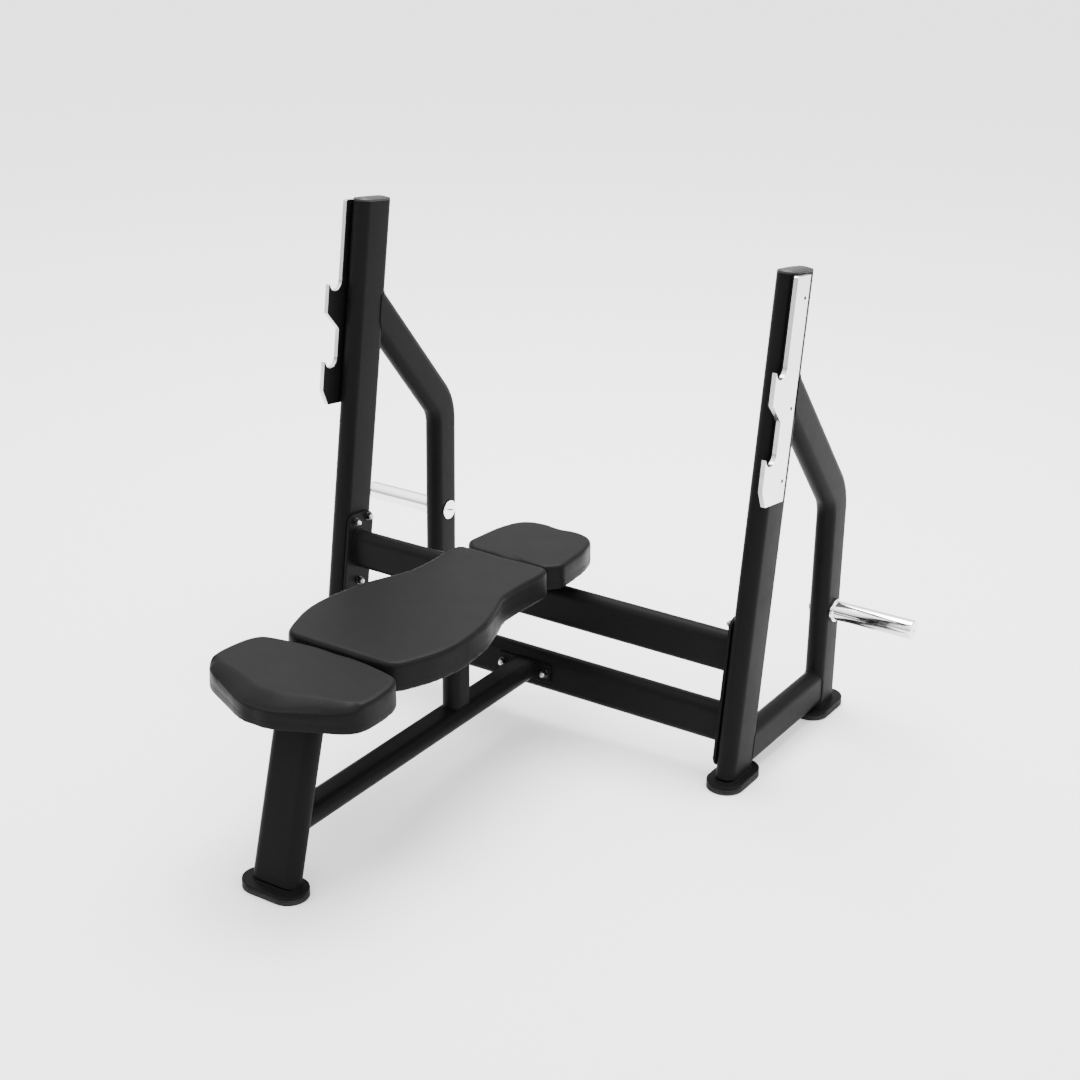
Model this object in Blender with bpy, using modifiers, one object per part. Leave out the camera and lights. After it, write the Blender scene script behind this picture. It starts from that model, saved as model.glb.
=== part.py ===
"""Flat bench press with racking uprights, as separate pieces at real size.

X runs across the bench, to the right of someone who stands at the seat end and looks along it.
Y runs from the seat end to the head end, and Z runs up. Lengths are in metres.

The pieces are laid out in the side view, from the point where the uprights' axis meets the floor.
One empty moves them all, so that the origin ends up on the floor under the middle of the bench.
"""

import math

import bmesh
import bpy
from mathutils import Euler, Matrix, Vector

# Clearance between pieces that touch, and the wall of every steel tube.
GAP = 0.0003
WALL = 0.003

# Where the uprights' axis meets the floor, behind the middle of the bench.
DATUM_Y = 0.2475

# Side frames: flat-oval uprights that lean back, bent rear braces and low side beams.
FRAME_X = 0.595
LEAN = math.radians(8.0)
UPRIGHT_ACROSS = 0.052
UPRIGHT_DEPTH = 0.122
UPRIGHT_TOP = 1.234
CAP_THICK = 0.006
REAR_Y = 0.464
REAR_DEPTH = 0.101
BRACE_TOP_Z = 0.9765
BRACE_SLOPE = math.radians(49.85)
BRACE_BEND_RADIUS = 0.120
SIDE_BEAM_Z = 0.073
SIDE_BEAM_HEIGHT = 0.100
SIDE_BEAM_ACROSS = 0.049

# Feet: a steel plate on a rubber pad, both the same long oval.
FOOT_LENGTH = 0.166
FOOT_WIDTH = 0.092
FOOT_PLATE = 0.008
FOOT_RUBBER = 0.013
FOOT_TOP = FOOT_RUBBER + GAP + FOOT_PLATE

# Bar catches on the outer face of each upright, measured forward of its axis and along it.
BACKING_THICK = 0.003
CATCH_THICK = 0.011
CATCH_BACK = -0.002
CATCH_FLUSH = 0.066
HOOK_FRONT = 0.117
NOTCH_RADIUS = 0.026
NOTCH_SEATS = (1.004, 0.804)
HOOK_DROP = 0.056
HOOK_SLANT = 0.044
CATCH_TOP = 1.2335
CATCH_BOTTOM = 0.7085
CATCH_TOE = 0.093

# Weight storage pegs behind the uprights.
PEG_Z = 0.284
PEG_RADIUS = 0.0245
PEG_TIP_X = 0.838
PEG_CAP = 0.012
COLLAR_RADIUS = 0.030
COLLAR_LENGTH = 0.009
DISC_RADIUS = 0.027
DISC_THICK = 0.005
SLOT_TILT = math.radians(19.4)

# Cross member: two beams between end plates that are bolted to the uprights.
BEAM_THICK = 0.050
BEAM_HEIGHT = 0.1035
UPPER_BEAM_Z = 0.3143
LOWER_BEAM_Z = 0.1380
END_PLATE_THICK = 0.008
END_PLATE_WIDTH = 0.104
END_PLATE_LOW = 0.040
END_PLATE_HIGH = 0.416
END_PLATE_CORNER = 0.028
BOLT_SHANK = 0.005
BOLT_HEAD = 0.0095
BOLT_HEAD_LENGTH = 0.008
BOLT_END_LENGTH = 0.007
WASHER_RADIUS = 0.0115
WASHER_THICK = 0.002
# Name, distance along the upright, distance behind its axis.
END_BOLTS = (
    ("top_front", 0.394, -0.025),
    ("top_rear", 0.401, 0.027),
    ("middle", 0.227, 0.006),
    ("bottom", 0.066, 0.0),
)

# Middle of the frame: lower spine, post, upper spine and front leg.
SPINE_Z = 0.142
SPINE_ACROSS = 0.078
SPINE_HEIGHT = 0.0495
SPINE_FLANGE = (0.156, 0.006, 0.050)
SPINE_BOLT_X = 0.0625
POST_Y = -0.3092
POST_ACROSS = 0.049
POST_DEPTH = 0.0775
TOP_SPINE_ACROSS = 0.080
TOP_SPINE_HEIGHT = 0.040
TOP_SPINE_FRONT = -0.960
TOP_SPINE_REAR = 0.120
TOP_SLOPE = math.radians(0.9)
LEG_Y = -0.996
LEG_LEAN = math.radians(15.2)

# Pads: a steel cross plate, a plywood board and an upholstered cushion on it.
BRACKET = (0.240, 0.050, 0.0045)
BOARD_THICK = 0.015
BOARD_INSET = 0.0015
SEAT_THICK = 0.063
BACK_THICK = 0.066
HEAD_THICK = 0.060
BRACKETS_Y = {"seat": -0.880, "back_front": -0.640, "back_rear": -0.260, "head": 0.018}
CUSHION_ROUND = 0.013
# Half of each pad's outline, (x, y) from its front edge round to its rear edge.
SEAT_HALF = (
    (0.030, -1.044),
    (0.060, -1.033),
    (0.095, -1.015),
    (0.135, -0.995),
    (0.168, -0.978),
    (0.190, -0.962),
    (0.204, -0.941),
    (0.210, -0.905),
    (0.209, -0.860),
    (0.203, -0.828),
    (0.191, -0.803),
    (0.172, -0.790),
    (0.110, -0.776),
    (0.050, -0.769),
)
BACK_HALF = (
    (0.100, -0.760),
    (0.130, -0.758),
    (0.147, -0.748),
    (0.158, -0.730),
    (0.171, -0.700),
    (0.186, -0.660),
    (0.196, -0.615),
    (0.200, -0.570),
    (0.197, -0.520),
    (0.187, -0.450),
    (0.172, -0.400),
    (0.158, -0.362),
    (0.143, -0.322),
    (0.137, -0.285),
    (0.136, -0.220),
    (0.138, -0.160),
    (0.136, -0.128),
    (0.127, -0.112),
    (0.105, -0.106),
)
HEAD_HALF = (
    (0.095, -0.0955),
    (0.112, -0.091),
    (0.128, -0.075),
    (0.1385, -0.058),
    (0.139, -0.035),
    (0.136, 0.010),
    (0.131, 0.055),
    (0.122, 0.090),
    (0.114, 0.112),
    (0.100, 0.130),
    (0.080, 0.142),
    (0.050, 0.148),
)

TURN_SIDE = (math.pi / 2, 0, math.pi / 2)
TURN_FRONT = (math.pi / 2, 0, 0)
SIDES = (("left", -1), ("right", 1))


def clear_scene():
    """Empties the startup scene."""
    for obj in list(bpy.data.objects):
        bpy.data.objects.remove(obj, do_unlink=True)


def make_collection(name):
    """A new collection under the scene's own."""
    collection = bpy.data.collections.new(name)
    bpy.context.scene.collection.children.link(collection)
    return collection


def make_material(name, color, roughness, metallic=0.0):
    """A plain Principled finish."""
    material = bpy.data.materials.new(name)
    material.use_nodes = True
    shader = material.node_tree.nodes["Principled BSDF"]
    shader.inputs["Base Color"].default_value = (*color, 1)
    shader.inputs["Roughness"].default_value = roughness
    shader.inputs["Metallic"].default_value = metallic
    return material


clear_scene()
PARTS = make_collection("bench_press")
CUTTERS = make_collection("cutters")
ROOT = bpy.data.objects.new("bench_origin", None)
ROOT.location = (0, DATUM_Y, 0)
PARTS.objects.link(ROOT)
# The upper spine lies on the upper beam, and everything on it has the spine's slight slope.
TOP = bpy.data.objects.new("top_origin", None)
TOP.location = (
    0,
    0,
    UPPER_BEAM_Z * (1 + math.tan(LEAN) * math.tan(TOP_SLOPE)) + BEAM_HEIGHT / 2 + GAP,
)
TOP.rotation_euler = (-TOP_SLOPE, 0, 0)
TOP.parent = ROOT
PARTS.objects.link(TOP)
BLACK = make_material("black_powder_coat", (0.012, 0.012, 0.013), 0.45)
CHROME = make_material("chrome", (0.83, 0.84, 0.85), 0.12, 1.0)
RUBBER = make_material("black_rubber", (0.015, 0.015, 0.015), 0.8)
PLASTIC = make_material("black_plastic", (0.02, 0.02, 0.02), 0.5)
VINYL = make_material("black_vinyl", (0.02, 0.02, 0.021), 0.55)
PLYWOOD = make_material("covered_plywood", (0.02, 0.02, 0.021), 0.6)
STEEL = make_material("zinc_steel", (0.6, 0.6, 0.6), 0.3, 1.0)


def oval_outline(across, along, steps=6):
    """Points round a flat oval: straight sides and half-round ends on its longer direction."""
    radius = min(across, along) / 2
    reach_x = across / 2 - radius
    reach_y = along / 2 - radius
    points = []
    for quarter, (sx, sy) in enumerate(((1, 1), (-1, 1), (-1, -1), (1, -1))):
        for step in range(steps + 1):
            angle = (quarter + step / steps) * math.pi / 2
            point = (
                sx * reach_x + radius * math.cos(angle),
                sy * reach_y + radius * math.sin(angle),
            )
            if not points or math.dist(points[-1], point) > 1e-6:
                points.append(point)
    if math.dist(points[0], points[-1]) < 1e-6:
        points.pop()
    return points


def rounded_rectangle(width, height, radius, steps=4):
    """Points round a rectangle with round corners."""
    points = []
    for quarter, (sx, sy) in enumerate(((1, 1), (-1, 1), (-1, -1), (1, -1))):
        for step in range(steps + 1):
            angle = (quarter + step / steps) * math.pi / 2
            points.append(
                (
                    sx * (width / 2 - radius) + radius * math.cos(angle),
                    sy * (height / 2 - radius) + radius * math.sin(angle),
                )
            )
    return points


def curve_mesh(curve):
    """The mesh that Blender makes from a curve, with its caps welded on."""
    holder = bpy.data.objects.new("holder", curve)
    bpy.context.scene.collection.objects.link(holder)
    bpy.context.view_layer.update()
    evaluated = holder.evaluated_get(bpy.context.evaluated_depsgraph_get())
    mesh = bpy.data.meshes.new_from_object(evaluated)
    bpy.data.objects.remove(holder, do_unlink=True)
    shape = bmesh.new()
    shape.from_mesh(mesh)
    bmesh.ops.remove_doubles(shape, verts=shape.verts, dist=1e-5)
    shape.to_mesh(mesh)
    shape.free()
    return mesh


def add_spline(curve, points, cyclic):
    """A straight-sided spline through the points."""
    spline = curve.splines.new("POLY")
    spline.points.add(len(points) - 1)
    for target, point in zip(spline.points, points):
        target.co = (point[0], point[1], 0, 1)
    spline.use_cyclic_u = cyclic


def flat_mesh(outline, thickness):
    """A flat plate of the outline in XY, its thickness centred on Z = 0."""
    curve = bpy.data.curves.new("outline", "CURVE")
    curve.dimensions = "2D"
    curve.fill_mode = "BOTH"
    curve.extrude = thickness / 2
    add_spline(curve, outline, True)
    return curve_mesh(curve)


def swept_mesh(route, profile, capped):
    """The profile carried along a flat route in XY, open at the ends unless it is capped."""
    section = bpy.data.curves.new("section", "CURVE")
    section.dimensions = "2D"
    add_spline(section, profile, True)
    section_holder = bpy.data.objects.new("section", section)
    bpy.context.scene.collection.objects.link(section_holder)
    path = bpy.data.curves.new("route", "CURVE")
    path.dimensions = "2D"
    path.fill_mode = "NONE"
    path.bevel_mode = "OBJECT"
    path.bevel_object = section_holder
    path.use_fill_caps = capped
    add_spline(path, route, False)
    mesh = curve_mesh(path)
    bpy.data.objects.remove(section_holder, do_unlink=True)
    return mesh


def place(mesh, name, material, location=(0, 0, 0), turn=(0, 0, 0), parent=ROOT):
    """An object for the mesh, placed from the parent empty."""
    obj = bpy.data.objects.new(name, mesh)
    obj.location = location
    obj.rotation_euler = turn
    obj.parent = parent
    mesh.materials.clear()
    mesh.materials.append(material)
    mesh.shade_smooth()
    mesh.set_sharp_from_angle(angle=math.radians(35))
    PARTS.objects.link(obj)
    return obj


def as_cutter(obj):
    """Moves a helper among the cutters and hides it from renders and from the build."""
    PARTS.objects.unlink(obj)
    CUTTERS.objects.link(obj)
    obj.hide_render = True
    obj.display_type = "WIRE"
    return obj


def cut(obj, *cutters):
    """Takes the cutters out of the object."""
    for cutter in cutters:
        modifier = obj.modifiers.new(f"cut_{cutter.name}", "BOOLEAN")
        modifier.operation = "DIFFERENCE"
        modifier.solver = "EXACT"
        modifier.object = cutter


def trim(shape, point, normal):
    """Cuts off what lies beyond the plane and closes the tube's wall there."""
    found = bmesh.ops.bisect_plane(
        shape,
        geom=list(shape.verts) + list(shape.edges) + list(shape.faces),
        plane_co=point,
        plane_no=normal,
        clear_outer=True,
    )
    rim = [item for item in found["geom_cut"] if isinstance(item, bmesh.types.BMEdge)]
    bmesh.ops.bridge_loops(shape, edges=rim)


def hollow(mesh, ends):
    """Gives an open tube its wall, then trims its ends to planes given as (point, normal).

    The faces of a swept section point inwards, so the wall is on the side they face.
    """
    holder = bpy.data.objects.new("holder", mesh)
    bpy.context.scene.collection.objects.link(holder)
    wall = holder.modifiers.new("wall", "SOLIDIFY")
    wall.thickness = WALL
    wall.offset = 1
    wall.use_even_offset = True
    wall.use_rim = True
    bpy.context.view_layer.update()
    evaluated = holder.evaluated_get(bpy.context.evaluated_depsgraph_get())
    result = bpy.data.meshes.new_from_object(evaluated)
    bpy.data.objects.remove(holder, do_unlink=True)
    shape = bmesh.new()
    shape.from_mesh(result)
    for point, normal in ends:
        trim(shape, point, normal)
    bmesh.ops.recalc_face_normals(shape, faces=shape.faces)
    shape.to_mesh(result)
    shape.free()
    return result


def tube(name, route, in_plane, out_of_plane, ends, turn, location=(0, 0, 0), parent=ROOT):
    """A hollow flat-oval tube along a route, trimmed at its ends.

    The route lies in local XY, which turn stands up in the side view or the front view.
    in_plane is the tube's size in that view and out_of_plane its size through it.
    """
    profile = oval_outline(in_plane, out_of_plane)
    mesh = hollow(swept_mesh(route, profile, False), ends)
    return place(mesh, name, BLACK, location, turn, parent)


def bar_cutter(name, route, in_plane, out_of_plane, turn, location=(0, 0, 0)):
    """A solid flat-oval bar, a gap larger than the tube it stands for, to fit another tube's end."""
    profile = oval_outline(in_plane + 2 * GAP, out_of_plane + 2 * GAP)
    mesh = swept_mesh(route, profile, True)
    shape = bmesh.new()
    shape.from_mesh(mesh)
    bmesh.ops.recalc_face_normals(shape, faces=shape.faces)
    shape.to_mesh(mesh)
    shape.free()
    return as_cutter(place(mesh, name, BLACK, location, turn))


def cylinder_mesh(radius, length, segments=24):
    """A closed cylinder along Z from 0 to its length."""
    shape = bmesh.new()
    bmesh.ops.create_cone(
        shape,
        cap_ends=True,
        segments=segments,
        radius1=radius,
        radius2=radius,
        depth=length,
        matrix=Matrix.Translation((0, 0, length / 2)),
    )
    mesh = bpy.data.meshes.new("cylinder")
    shape.to_mesh(mesh)
    shape.free()
    return mesh


def turned_mesh(profile, segments=24):
    """A closed profile of (radius, height) points turned about Z by a Screw modifier."""
    mesh = bpy.data.meshes.new("profile")
    count = len(profile)
    loop = [(index, (index + 1) % count) for index in range(count)]
    if profile[0][0] == 0:
        loop.pop()
    mesh.from_pydata([(radius, 0, height) for radius, height in profile], loop, [])
    holder = bpy.data.objects.new("holder", mesh)
    bpy.context.scene.collection.objects.link(holder)
    screw = holder.modifiers.new("turn", "SCREW")
    screw.steps = screw.render_steps = segments
    screw.use_merge_vertices = True
    screw.merge_threshold = 1e-5
    bpy.context.view_layer.update()
    evaluated = holder.evaluated_get(bpy.context.evaluated_depsgraph_get())
    result = bpy.data.meshes.new_from_object(evaluated)
    bpy.data.objects.remove(holder, do_unlink=True)
    shape = bmesh.new()
    shape.from_mesh(result)
    bmesh.ops.remove_doubles(shape, verts=shape.verts, dist=1e-6)
    bmesh.ops.recalc_face_normals(shape, faces=shape.faces)
    shape.to_mesh(result)
    shape.free()
    return result


def facing_x(side):
    """The turn that points a piece's own Z outwards along X on that side."""
    return (0, side * math.pi / 2, 0)


def on_upright(along, behind):
    """(y, z) of a point at a distance along an upright's axis and behind it."""
    return (
        along * math.sin(LEAN) + behind * math.cos(LEAN),
        along * math.cos(LEAN) - behind * math.sin(LEAN),
    )


def foot(prefix, x, y, turn):
    """A foot's steel plate and the rubber pad under it."""
    outline = oval_outline(FOOT_WIDTH, FOOT_LENGTH)
    pad = flat_mesh(outline, FOOT_RUBBER)
    place(pad, f"{prefix}_foot_rubber", RUBBER, (x, y, FOOT_RUBBER / 2), (0, 0, turn))
    plate = flat_mesh(outline, FOOT_PLATE)
    height = FOOT_RUBBER + GAP + FOOT_PLATE / 2
    place(plate, f"{prefix}_foot_plate", BLACK, (x, y, height), (0, 0, turn))


def catch_outline():
    """The catch's side view, as (behind, along): straight back, two notches with hooks in front."""
    points = [(CATCH_BACK, CATCH_BOTTOM), (CATCH_BACK, CATCH_TOP)]
    points.append((CATCH_FLUSH - 0.003, CATCH_TOP))
    points.append((CATCH_FLUSH, CATCH_TOP - 0.003))
    for seat in NOTCH_SEATS:
        center = (CATCH_FLUSH + NOTCH_RADIUS, seat + NOTCH_RADIUS)
        end = -math.acos((HOOK_FRONT - center[0]) / NOTCH_RADIUS)
        for step in range(13):
            angle = -math.pi + (math.pi + end) * step / 12
            points.append(
                (
                    center[0] + NOTCH_RADIUS * math.cos(angle),
                    center[1] + NOTCH_RADIUS * math.sin(angle),
                )
            )
        points.append((HOOK_FRONT, seat - HOOK_DROP))
        if seat != NOTCH_SEATS[-1]:
            points.append((CATCH_FLUSH, seat - HOOK_DROP - HOOK_SLANT))
    points.append((CATCH_TOE, CATCH_BOTTOM))
    return points


def catches(label, side):
    """The black backing plate and the chrome catch on it, on an upright's outer face."""
    face = FRAME_X + UPRIGHT_ACROSS / 2
    # Local X of the flat plate becomes the direction in front of the upright, local Y its axis.
    outline = catch_outline()
    ahead = (0, -math.cos(LEAN), math.sin(LEAN))
    along = (0, math.sin(LEAN), math.cos(LEAN))
    turn = Matrix((ahead, along, (-1, 0, 0))).transposed().to_euler()
    inner = face + GAP + BACKING_THICK / 2
    outer = inner + BACKING_THICK / 2 + GAP + CATCH_THICK / 2
    backing = flat_mesh(outline, BACKING_THICK)
    place(backing, f"{label}_catch_backing", BLACK, (side * inner, 0, 0), turn)
    plate = flat_mesh(outline, CATCH_THICK)
    place(plate, f"{label}_catch_plate", CHROME, (side * outer, 0, 0), turn)


def brace_route():
    """The rear brace's centre line in the side view, from inside the upright down to the foot."""
    bend_z = BRACE_TOP_Z - (REAR_Y - BRACE_TOP_Z * math.tan(LEAN)) * math.tan(BRACE_SLOPE)
    turn = math.pi / 2 - BRACE_SLOPE
    reach = BRACE_BEND_RADIUS * math.tan(turn / 2)
    center = (REAR_Y - BRACE_BEND_RADIUS, bend_z - reach)
    route = [(BRACE_TOP_Z * math.tan(LEAN), BRACE_TOP_Z)]
    for step in range(7):
        angle = turn * (1 - step / 6)
        route.append(
            (
                center[0] + BRACE_BEND_RADIUS * math.cos(angle),
                center[1] + BRACE_BEND_RADIUS * math.sin(angle),
            )
        )
    route.append((REAR_Y, FOOT_TOP - 0.02))
    return route


def side_frame(label, side):
    """One side frame with its feet, catches and weight peg."""
    x = side * FRAME_X
    at = (x, 0, 0)
    foot_plane = (Vector((0, FOOT_TOP + GAP, 0)), Vector((0, -1, 0)))
    low = on_upright(-0.03, 0)
    high = on_upright(UPRIGHT_TOP, 0)
    upright = tube(
        f"{label}_upright", (high, low), UPRIGHT_DEPTH, UPRIGHT_ACROSS, (foot_plane,), TURN_SIDE, at
    )
    upright_shape = bar_cutter(
        f"{label}_upright_shape", (high, low), UPRIGHT_DEPTH, UPRIGHT_ACROSS, TURN_SIDE, at
    )
    cap_y, cap_z = on_upright(UPRIGHT_TOP + GAP + CAP_THICK / 2, 0)
    cap = place(
        flat_mesh(oval_outline(UPRIGHT_ACROSS, UPRIGHT_DEPTH), CAP_THICK),
        f"{label}_upright_cap",
        PLASTIC,
        (x, cap_y, cap_z),
        (-LEAN, 0, 0),
    )
    edge = cap.modifiers.new("edge", "BEVEL")
    edge.width = 0.0015
    edge.segments = 1

    route = brace_route()
    brace = tube(f"{label}_rear_brace", route, REAR_DEPTH, UPRIGHT_ACROSS, (foot_plane,), TURN_SIDE, at)
    cut(brace, upright_shape)
    post_shape = bar_cutter(
        f"{label}_post_shape",
        ((REAR_Y, 0.4), (REAR_Y, -0.05)),
        REAR_DEPTH,
        UPRIGHT_ACROSS,
        TURN_SIDE,
        at,
    )
    beam_start = on_upright(SIDE_BEAM_Z, 0)[0]
    beam = tube(
        f"{label}_side_beam",
        ((beam_start, SIDE_BEAM_Z), (REAR_Y, SIDE_BEAM_Z)),
        SIDE_BEAM_HEIGHT,
        SIDE_BEAM_ACROSS,
        (),
        TURN_SIDE,
        at,
    )
    cut(beam, upright_shape, post_shape)

    foot(f"{label}_front", x, 0.002, 0)
    foot(f"{label}_rear", x, REAR_Y, 0)
    catches(label, side)
    peg(label, side, brace)
    return upright


def peg(label, side, brace):
    """The weight peg through the rear post, with its collar, end cap and inner disc."""
    outer_face = FRAME_X + UPRIGHT_ACROSS / 2
    inner_face = FRAME_X - UPRIGHT_ACROSS / 2
    start = (side * inner_face, REAR_Y, PEG_Z)
    turn = facing_x(side)
    hole = place(
        cylinder_mesh(PEG_RADIUS + GAP, UPRIGHT_ACROSS + 0.02),
        f"{label}_peg_hole",
        BLACK,
        (side * (inner_face - 0.01), REAR_Y, PEG_Z),
        turn,
    )
    cut(brace, as_cutter(hole))
    length = PEG_TIP_X - PEG_CAP - GAP - inner_face
    bore = PEG_RADIUS - WALL
    pipe = ((bore, 0), (PEG_RADIUS, 0), (PEG_RADIUS, length), (bore, length))
    place(turned_mesh(pipe), f"{label}_weight_peg", CHROME, start, turn)
    ring = PEG_RADIUS + GAP
    collar = (
        (ring, 0),
        (COLLAR_RADIUS, 0),
        (COLLAR_RADIUS, COLLAR_LENGTH - 0.002),
        (COLLAR_RADIUS - 0.002, COLLAR_LENGTH),
        (ring, COLLAR_LENGTH),
    )
    collar_at = (side * (outer_face + GAP), REAR_Y, PEG_Z)
    place(turned_mesh(collar), f"{label}_peg_collar", CHROME, collar_at, turn)
    plug = (
        (0, -0.018),
        (bore - GAP, -0.018),
        (bore - GAP, 0),
        (PEG_RADIUS, 0),
        (PEG_RADIUS, PEG_CAP - 0.003),
        (PEG_RADIUS - 0.003, PEG_CAP),
        (0.004, PEG_CAP),
        (0.004, PEG_CAP - 0.006),
        (0, PEG_CAP - 0.006),
    )
    plug_at = (side * (PEG_TIP_X - PEG_CAP), REAR_Y, PEG_Z)
    place(turned_mesh(plug), f"{label}_peg_end_cap", CHROME, plug_at, turn)
    disc = place(
        cylinder_mesh(DISC_RADIUS, DISC_THICK),
        f"{label}_peg_disc",
        CHROME,
        (side * (inner_face - GAP), REAR_Y, PEG_Z),
        facing_x(-side),
    )
    tilt = Matrix.Rotation(-SLOT_TILT, 2)
    outline = [tuple(tilt @ Vector(point)) for point in rounded_rectangle(0.004, 0.030, 0.0015)]
    slot = place(
        flat_mesh(outline, 0.004),
        f"{label}_disc_slot",
        CHROME,
        (side * (inner_face - GAP - DISC_THICK), REAR_Y, PEG_Z),
        (0, math.pi / 2, 0),
    )
    cut(disc, as_cutter(slot))


def bolt(name, x, y, z, turn, grip):
    """A bolt in one piece: washer, nut and threaded end above its own Z = 0, the shank below."""
    nut = WASHER_THICK + BOLT_HEAD_LENGTH
    top = nut + BOLT_END_LENGTH
    profile = (
        (0, -grip),
        (BOLT_SHANK, -grip),
        (BOLT_SHANK, 0),
        (WASHER_RADIUS, 0),
        (WASHER_RADIUS, WASHER_THICK),
        (BOLT_HEAD, WASHER_THICK),
        (BOLT_HEAD, nut),
        (BOLT_SHANK, nut),
        (BOLT_SHANK, top),
        (0, top),
    )
    return place(turned_mesh(profile, 12), name, STEEL, (x, y, z), turn)


def drill(name, x, y, z, turn, depth, *targets):
    """A bolt's hole through the targets, a gap wider than its shank and centred on the point."""
    mesh = cylinder_mesh(BOLT_SHANK + GAP, depth, 12)
    mesh.transform(Matrix.Translation((0, 0, -depth / 2)))
    hole = as_cutter(place(mesh, name, STEEL, (x, y, z), turn))
    for target in targets:
        cut(target, hole)


def cross_member(uprights):
    """Two beams across the bench between end plates, each plate bolted to its upright."""
    plate_face = FRAME_X - UPRIGHT_ACROSS / 2 - GAP
    beam_reach = plate_face - END_PLATE_THICK - GAP
    beams = {}
    for name, height in (("upper", UPPER_BEAM_Z), ("lower", LOWER_BEAM_Z)):
        ends = (
            (Vector((beam_reach, 0, 0)), Vector((1, 0, 0))),
            (Vector((-beam_reach, 0, 0)), Vector((-1, 0, 0))),
        )
        beams[name] = tube(
            f"{name}_cross_beam",
            ((-FRAME_X, 0), (FRAME_X, 0)),
            BEAM_HEIGHT,
            BEAM_THICK,
            ends,
            TURN_FRONT,
            (0, height * math.tan(LEAN), height),
        )
    height = END_PLATE_HIGH - END_PLATE_LOW
    middle_y, middle_z = on_upright((END_PLATE_HIGH + END_PLATE_LOW) / 2, 0)
    for label, side in SIDES:
        outline = rounded_rectangle(END_PLATE_WIDTH, height, END_PLATE_CORNER)
        x = side * (plate_face - END_PLATE_THICK / 2)
        plate = place(
            flat_mesh(outline, END_PLATE_THICK),
            f"{label}_end_plate",
            BLACK,
            (x, middle_y, middle_z),
            (Matrix.Rotation(-LEAN, 3, "X") @ Euler(TURN_SIDE).to_matrix()).to_euler(),
        )
        for where, along, behind in END_BOLTS:
            y, z = on_upright(along, behind)
            head_x = side * (plate_face - END_PLATE_THICK - GAP)
            turn = facing_x(-side)
            grip = END_PLATE_THICK + 0.012
            bolt(f"{label}_bolt_{where}", head_x, y, z, turn, grip)
            hole = f"{label}_hole_{where}"
            drill(hole, head_x, y, z, turn, 2 * grip + 0.002, plate, uprights[label])
    return beams


def middle_frame(lower_beam):
    """Lower spine with its flange, mid post, upper spine and front leg."""
    beam_front = lower_beam.location.y - BEAM_THICK / 2
    width, thick, height = SPINE_FLANGE
    flange = place(
        flat_mesh(rounded_rectangle(width, height, 0.006), thick),
        "spine_flange",
        BLACK,
        (0, beam_front - GAP - thick / 2, SPINE_Z),
        TURN_FRONT,
    )
    head_y = beam_front - GAP - thick - GAP
    for label, side in SIDES:
        x = side * SPINE_BOLT_X
        bolt(f"spine_bolt_{label}", x, head_y, SPINE_Z, TURN_FRONT, thick + 0.012)
        drill(f"spine_hole_{label}", x, head_y, SPINE_Z, TURN_FRONT, 0.042, flange, lower_beam)

    leg_top = (LEG_Y + 0.5 * math.tan(LEG_LEAN), 0.5)
    leg_low = (LEG_Y - 0.03 * math.tan(LEG_LEAN), -0.03)
    # The upper spine's underside, a gap lower, closes the leg and the post.
    under_top = (
        Vector((0, TOP.location.z - GAP, 0)),
        Vector((math.sin(TOP_SLOPE), math.cos(TOP_SLOPE), 0)),
    )
    tube(
        "front_leg",
        (leg_top, leg_low),
        UPRIGHT_ACROSS,
        UPRIGHT_DEPTH,
        ((Vector((0, FOOT_TOP + GAP, 0)), Vector((0, -1, 0))), under_top),
        TURN_SIDE,
    )
    leg_shape = bar_cutter("leg_shape", (leg_top, leg_low), UPRIGHT_ACROSS, UPRIGHT_DEPTH, TURN_SIDE)
    spine = tube(
        "lower_spine",
        ((LEG_Y + SPINE_Z * math.tan(LEG_LEAN), SPINE_Z), (0.1, SPINE_Z)),
        SPINE_HEIGHT,
        SPINE_ACROSS,
        ((Vector((head_y, 0, 0)), Vector((1, 0, 0))),),
        TURN_SIDE,
    )
    cut(spine, leg_shape)
    tube(
        "mid_post",
        ((POST_Y, 0.1), (POST_Y, 0.45)),
        POST_DEPTH,
        POST_ACROSS,
        (
            (Vector((0, SPINE_Z + SPINE_HEIGHT / 2 + GAP, 0)), Vector((0, -1, 0))),
            under_top,
        ),
        TURN_SIDE,
    )
    tube(
        "upper_spine",
        ((TOP_SPINE_FRONT, TOP_SPINE_HEIGHT / 2), (TOP_SPINE_REAR, TOP_SPINE_HEIGHT / 2)),
        TOP_SPINE_HEIGHT,
        TOP_SPINE_ACROSS,
        (),
        TURN_SIDE,
        parent=TOP,
    )
    foot("leg", 0, LEG_Y, math.pi / 2)


def smooth_outline(half, steps=2):
    """A closed smooth outline, mirrored in X, through the (x, y) points from front to rear."""
    points = [(0, half[0][1])] + list(half) + [(0, half[-1][1])]
    right = []
    for index in range(len(points) - 1):
        before = points[max(index - 1, 0)]
        start, end = points[index], points[index + 1]
        after = points[min(index + 2, len(points) - 1)]
        for step in range(steps):
            t = step / steps
            right.append(
                tuple(
                    0.5
                    * (
                        2 * start[axis]
                        + (end[axis] - before[axis]) * t
                        + (2 * before[axis] - 5 * start[axis] + 4 * end[axis] - after[axis]) * t**2
                        + (3 * start[axis] - before[axis] - 3 * end[axis] + after[axis]) * t**3
                    )
                    for axis in (0, 1)
                )
            )
    right.append(points[-1])
    return right + [(-x, y) for x, y in reversed(right[1:-1])]


def inset_outline(points, distance):
    """The outline moved inwards by the distance."""
    inner = []
    for index, point in enumerate(points):
        before, after = points[index - 1], points[(index + 1) % len(points)]
        run = (after[0] - before[0], after[1] - before[1])
        size = math.hypot(*run)
        inner.append((point[0] - run[1] / size * distance, point[1] + run[0] / size * distance))
    return inner


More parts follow.
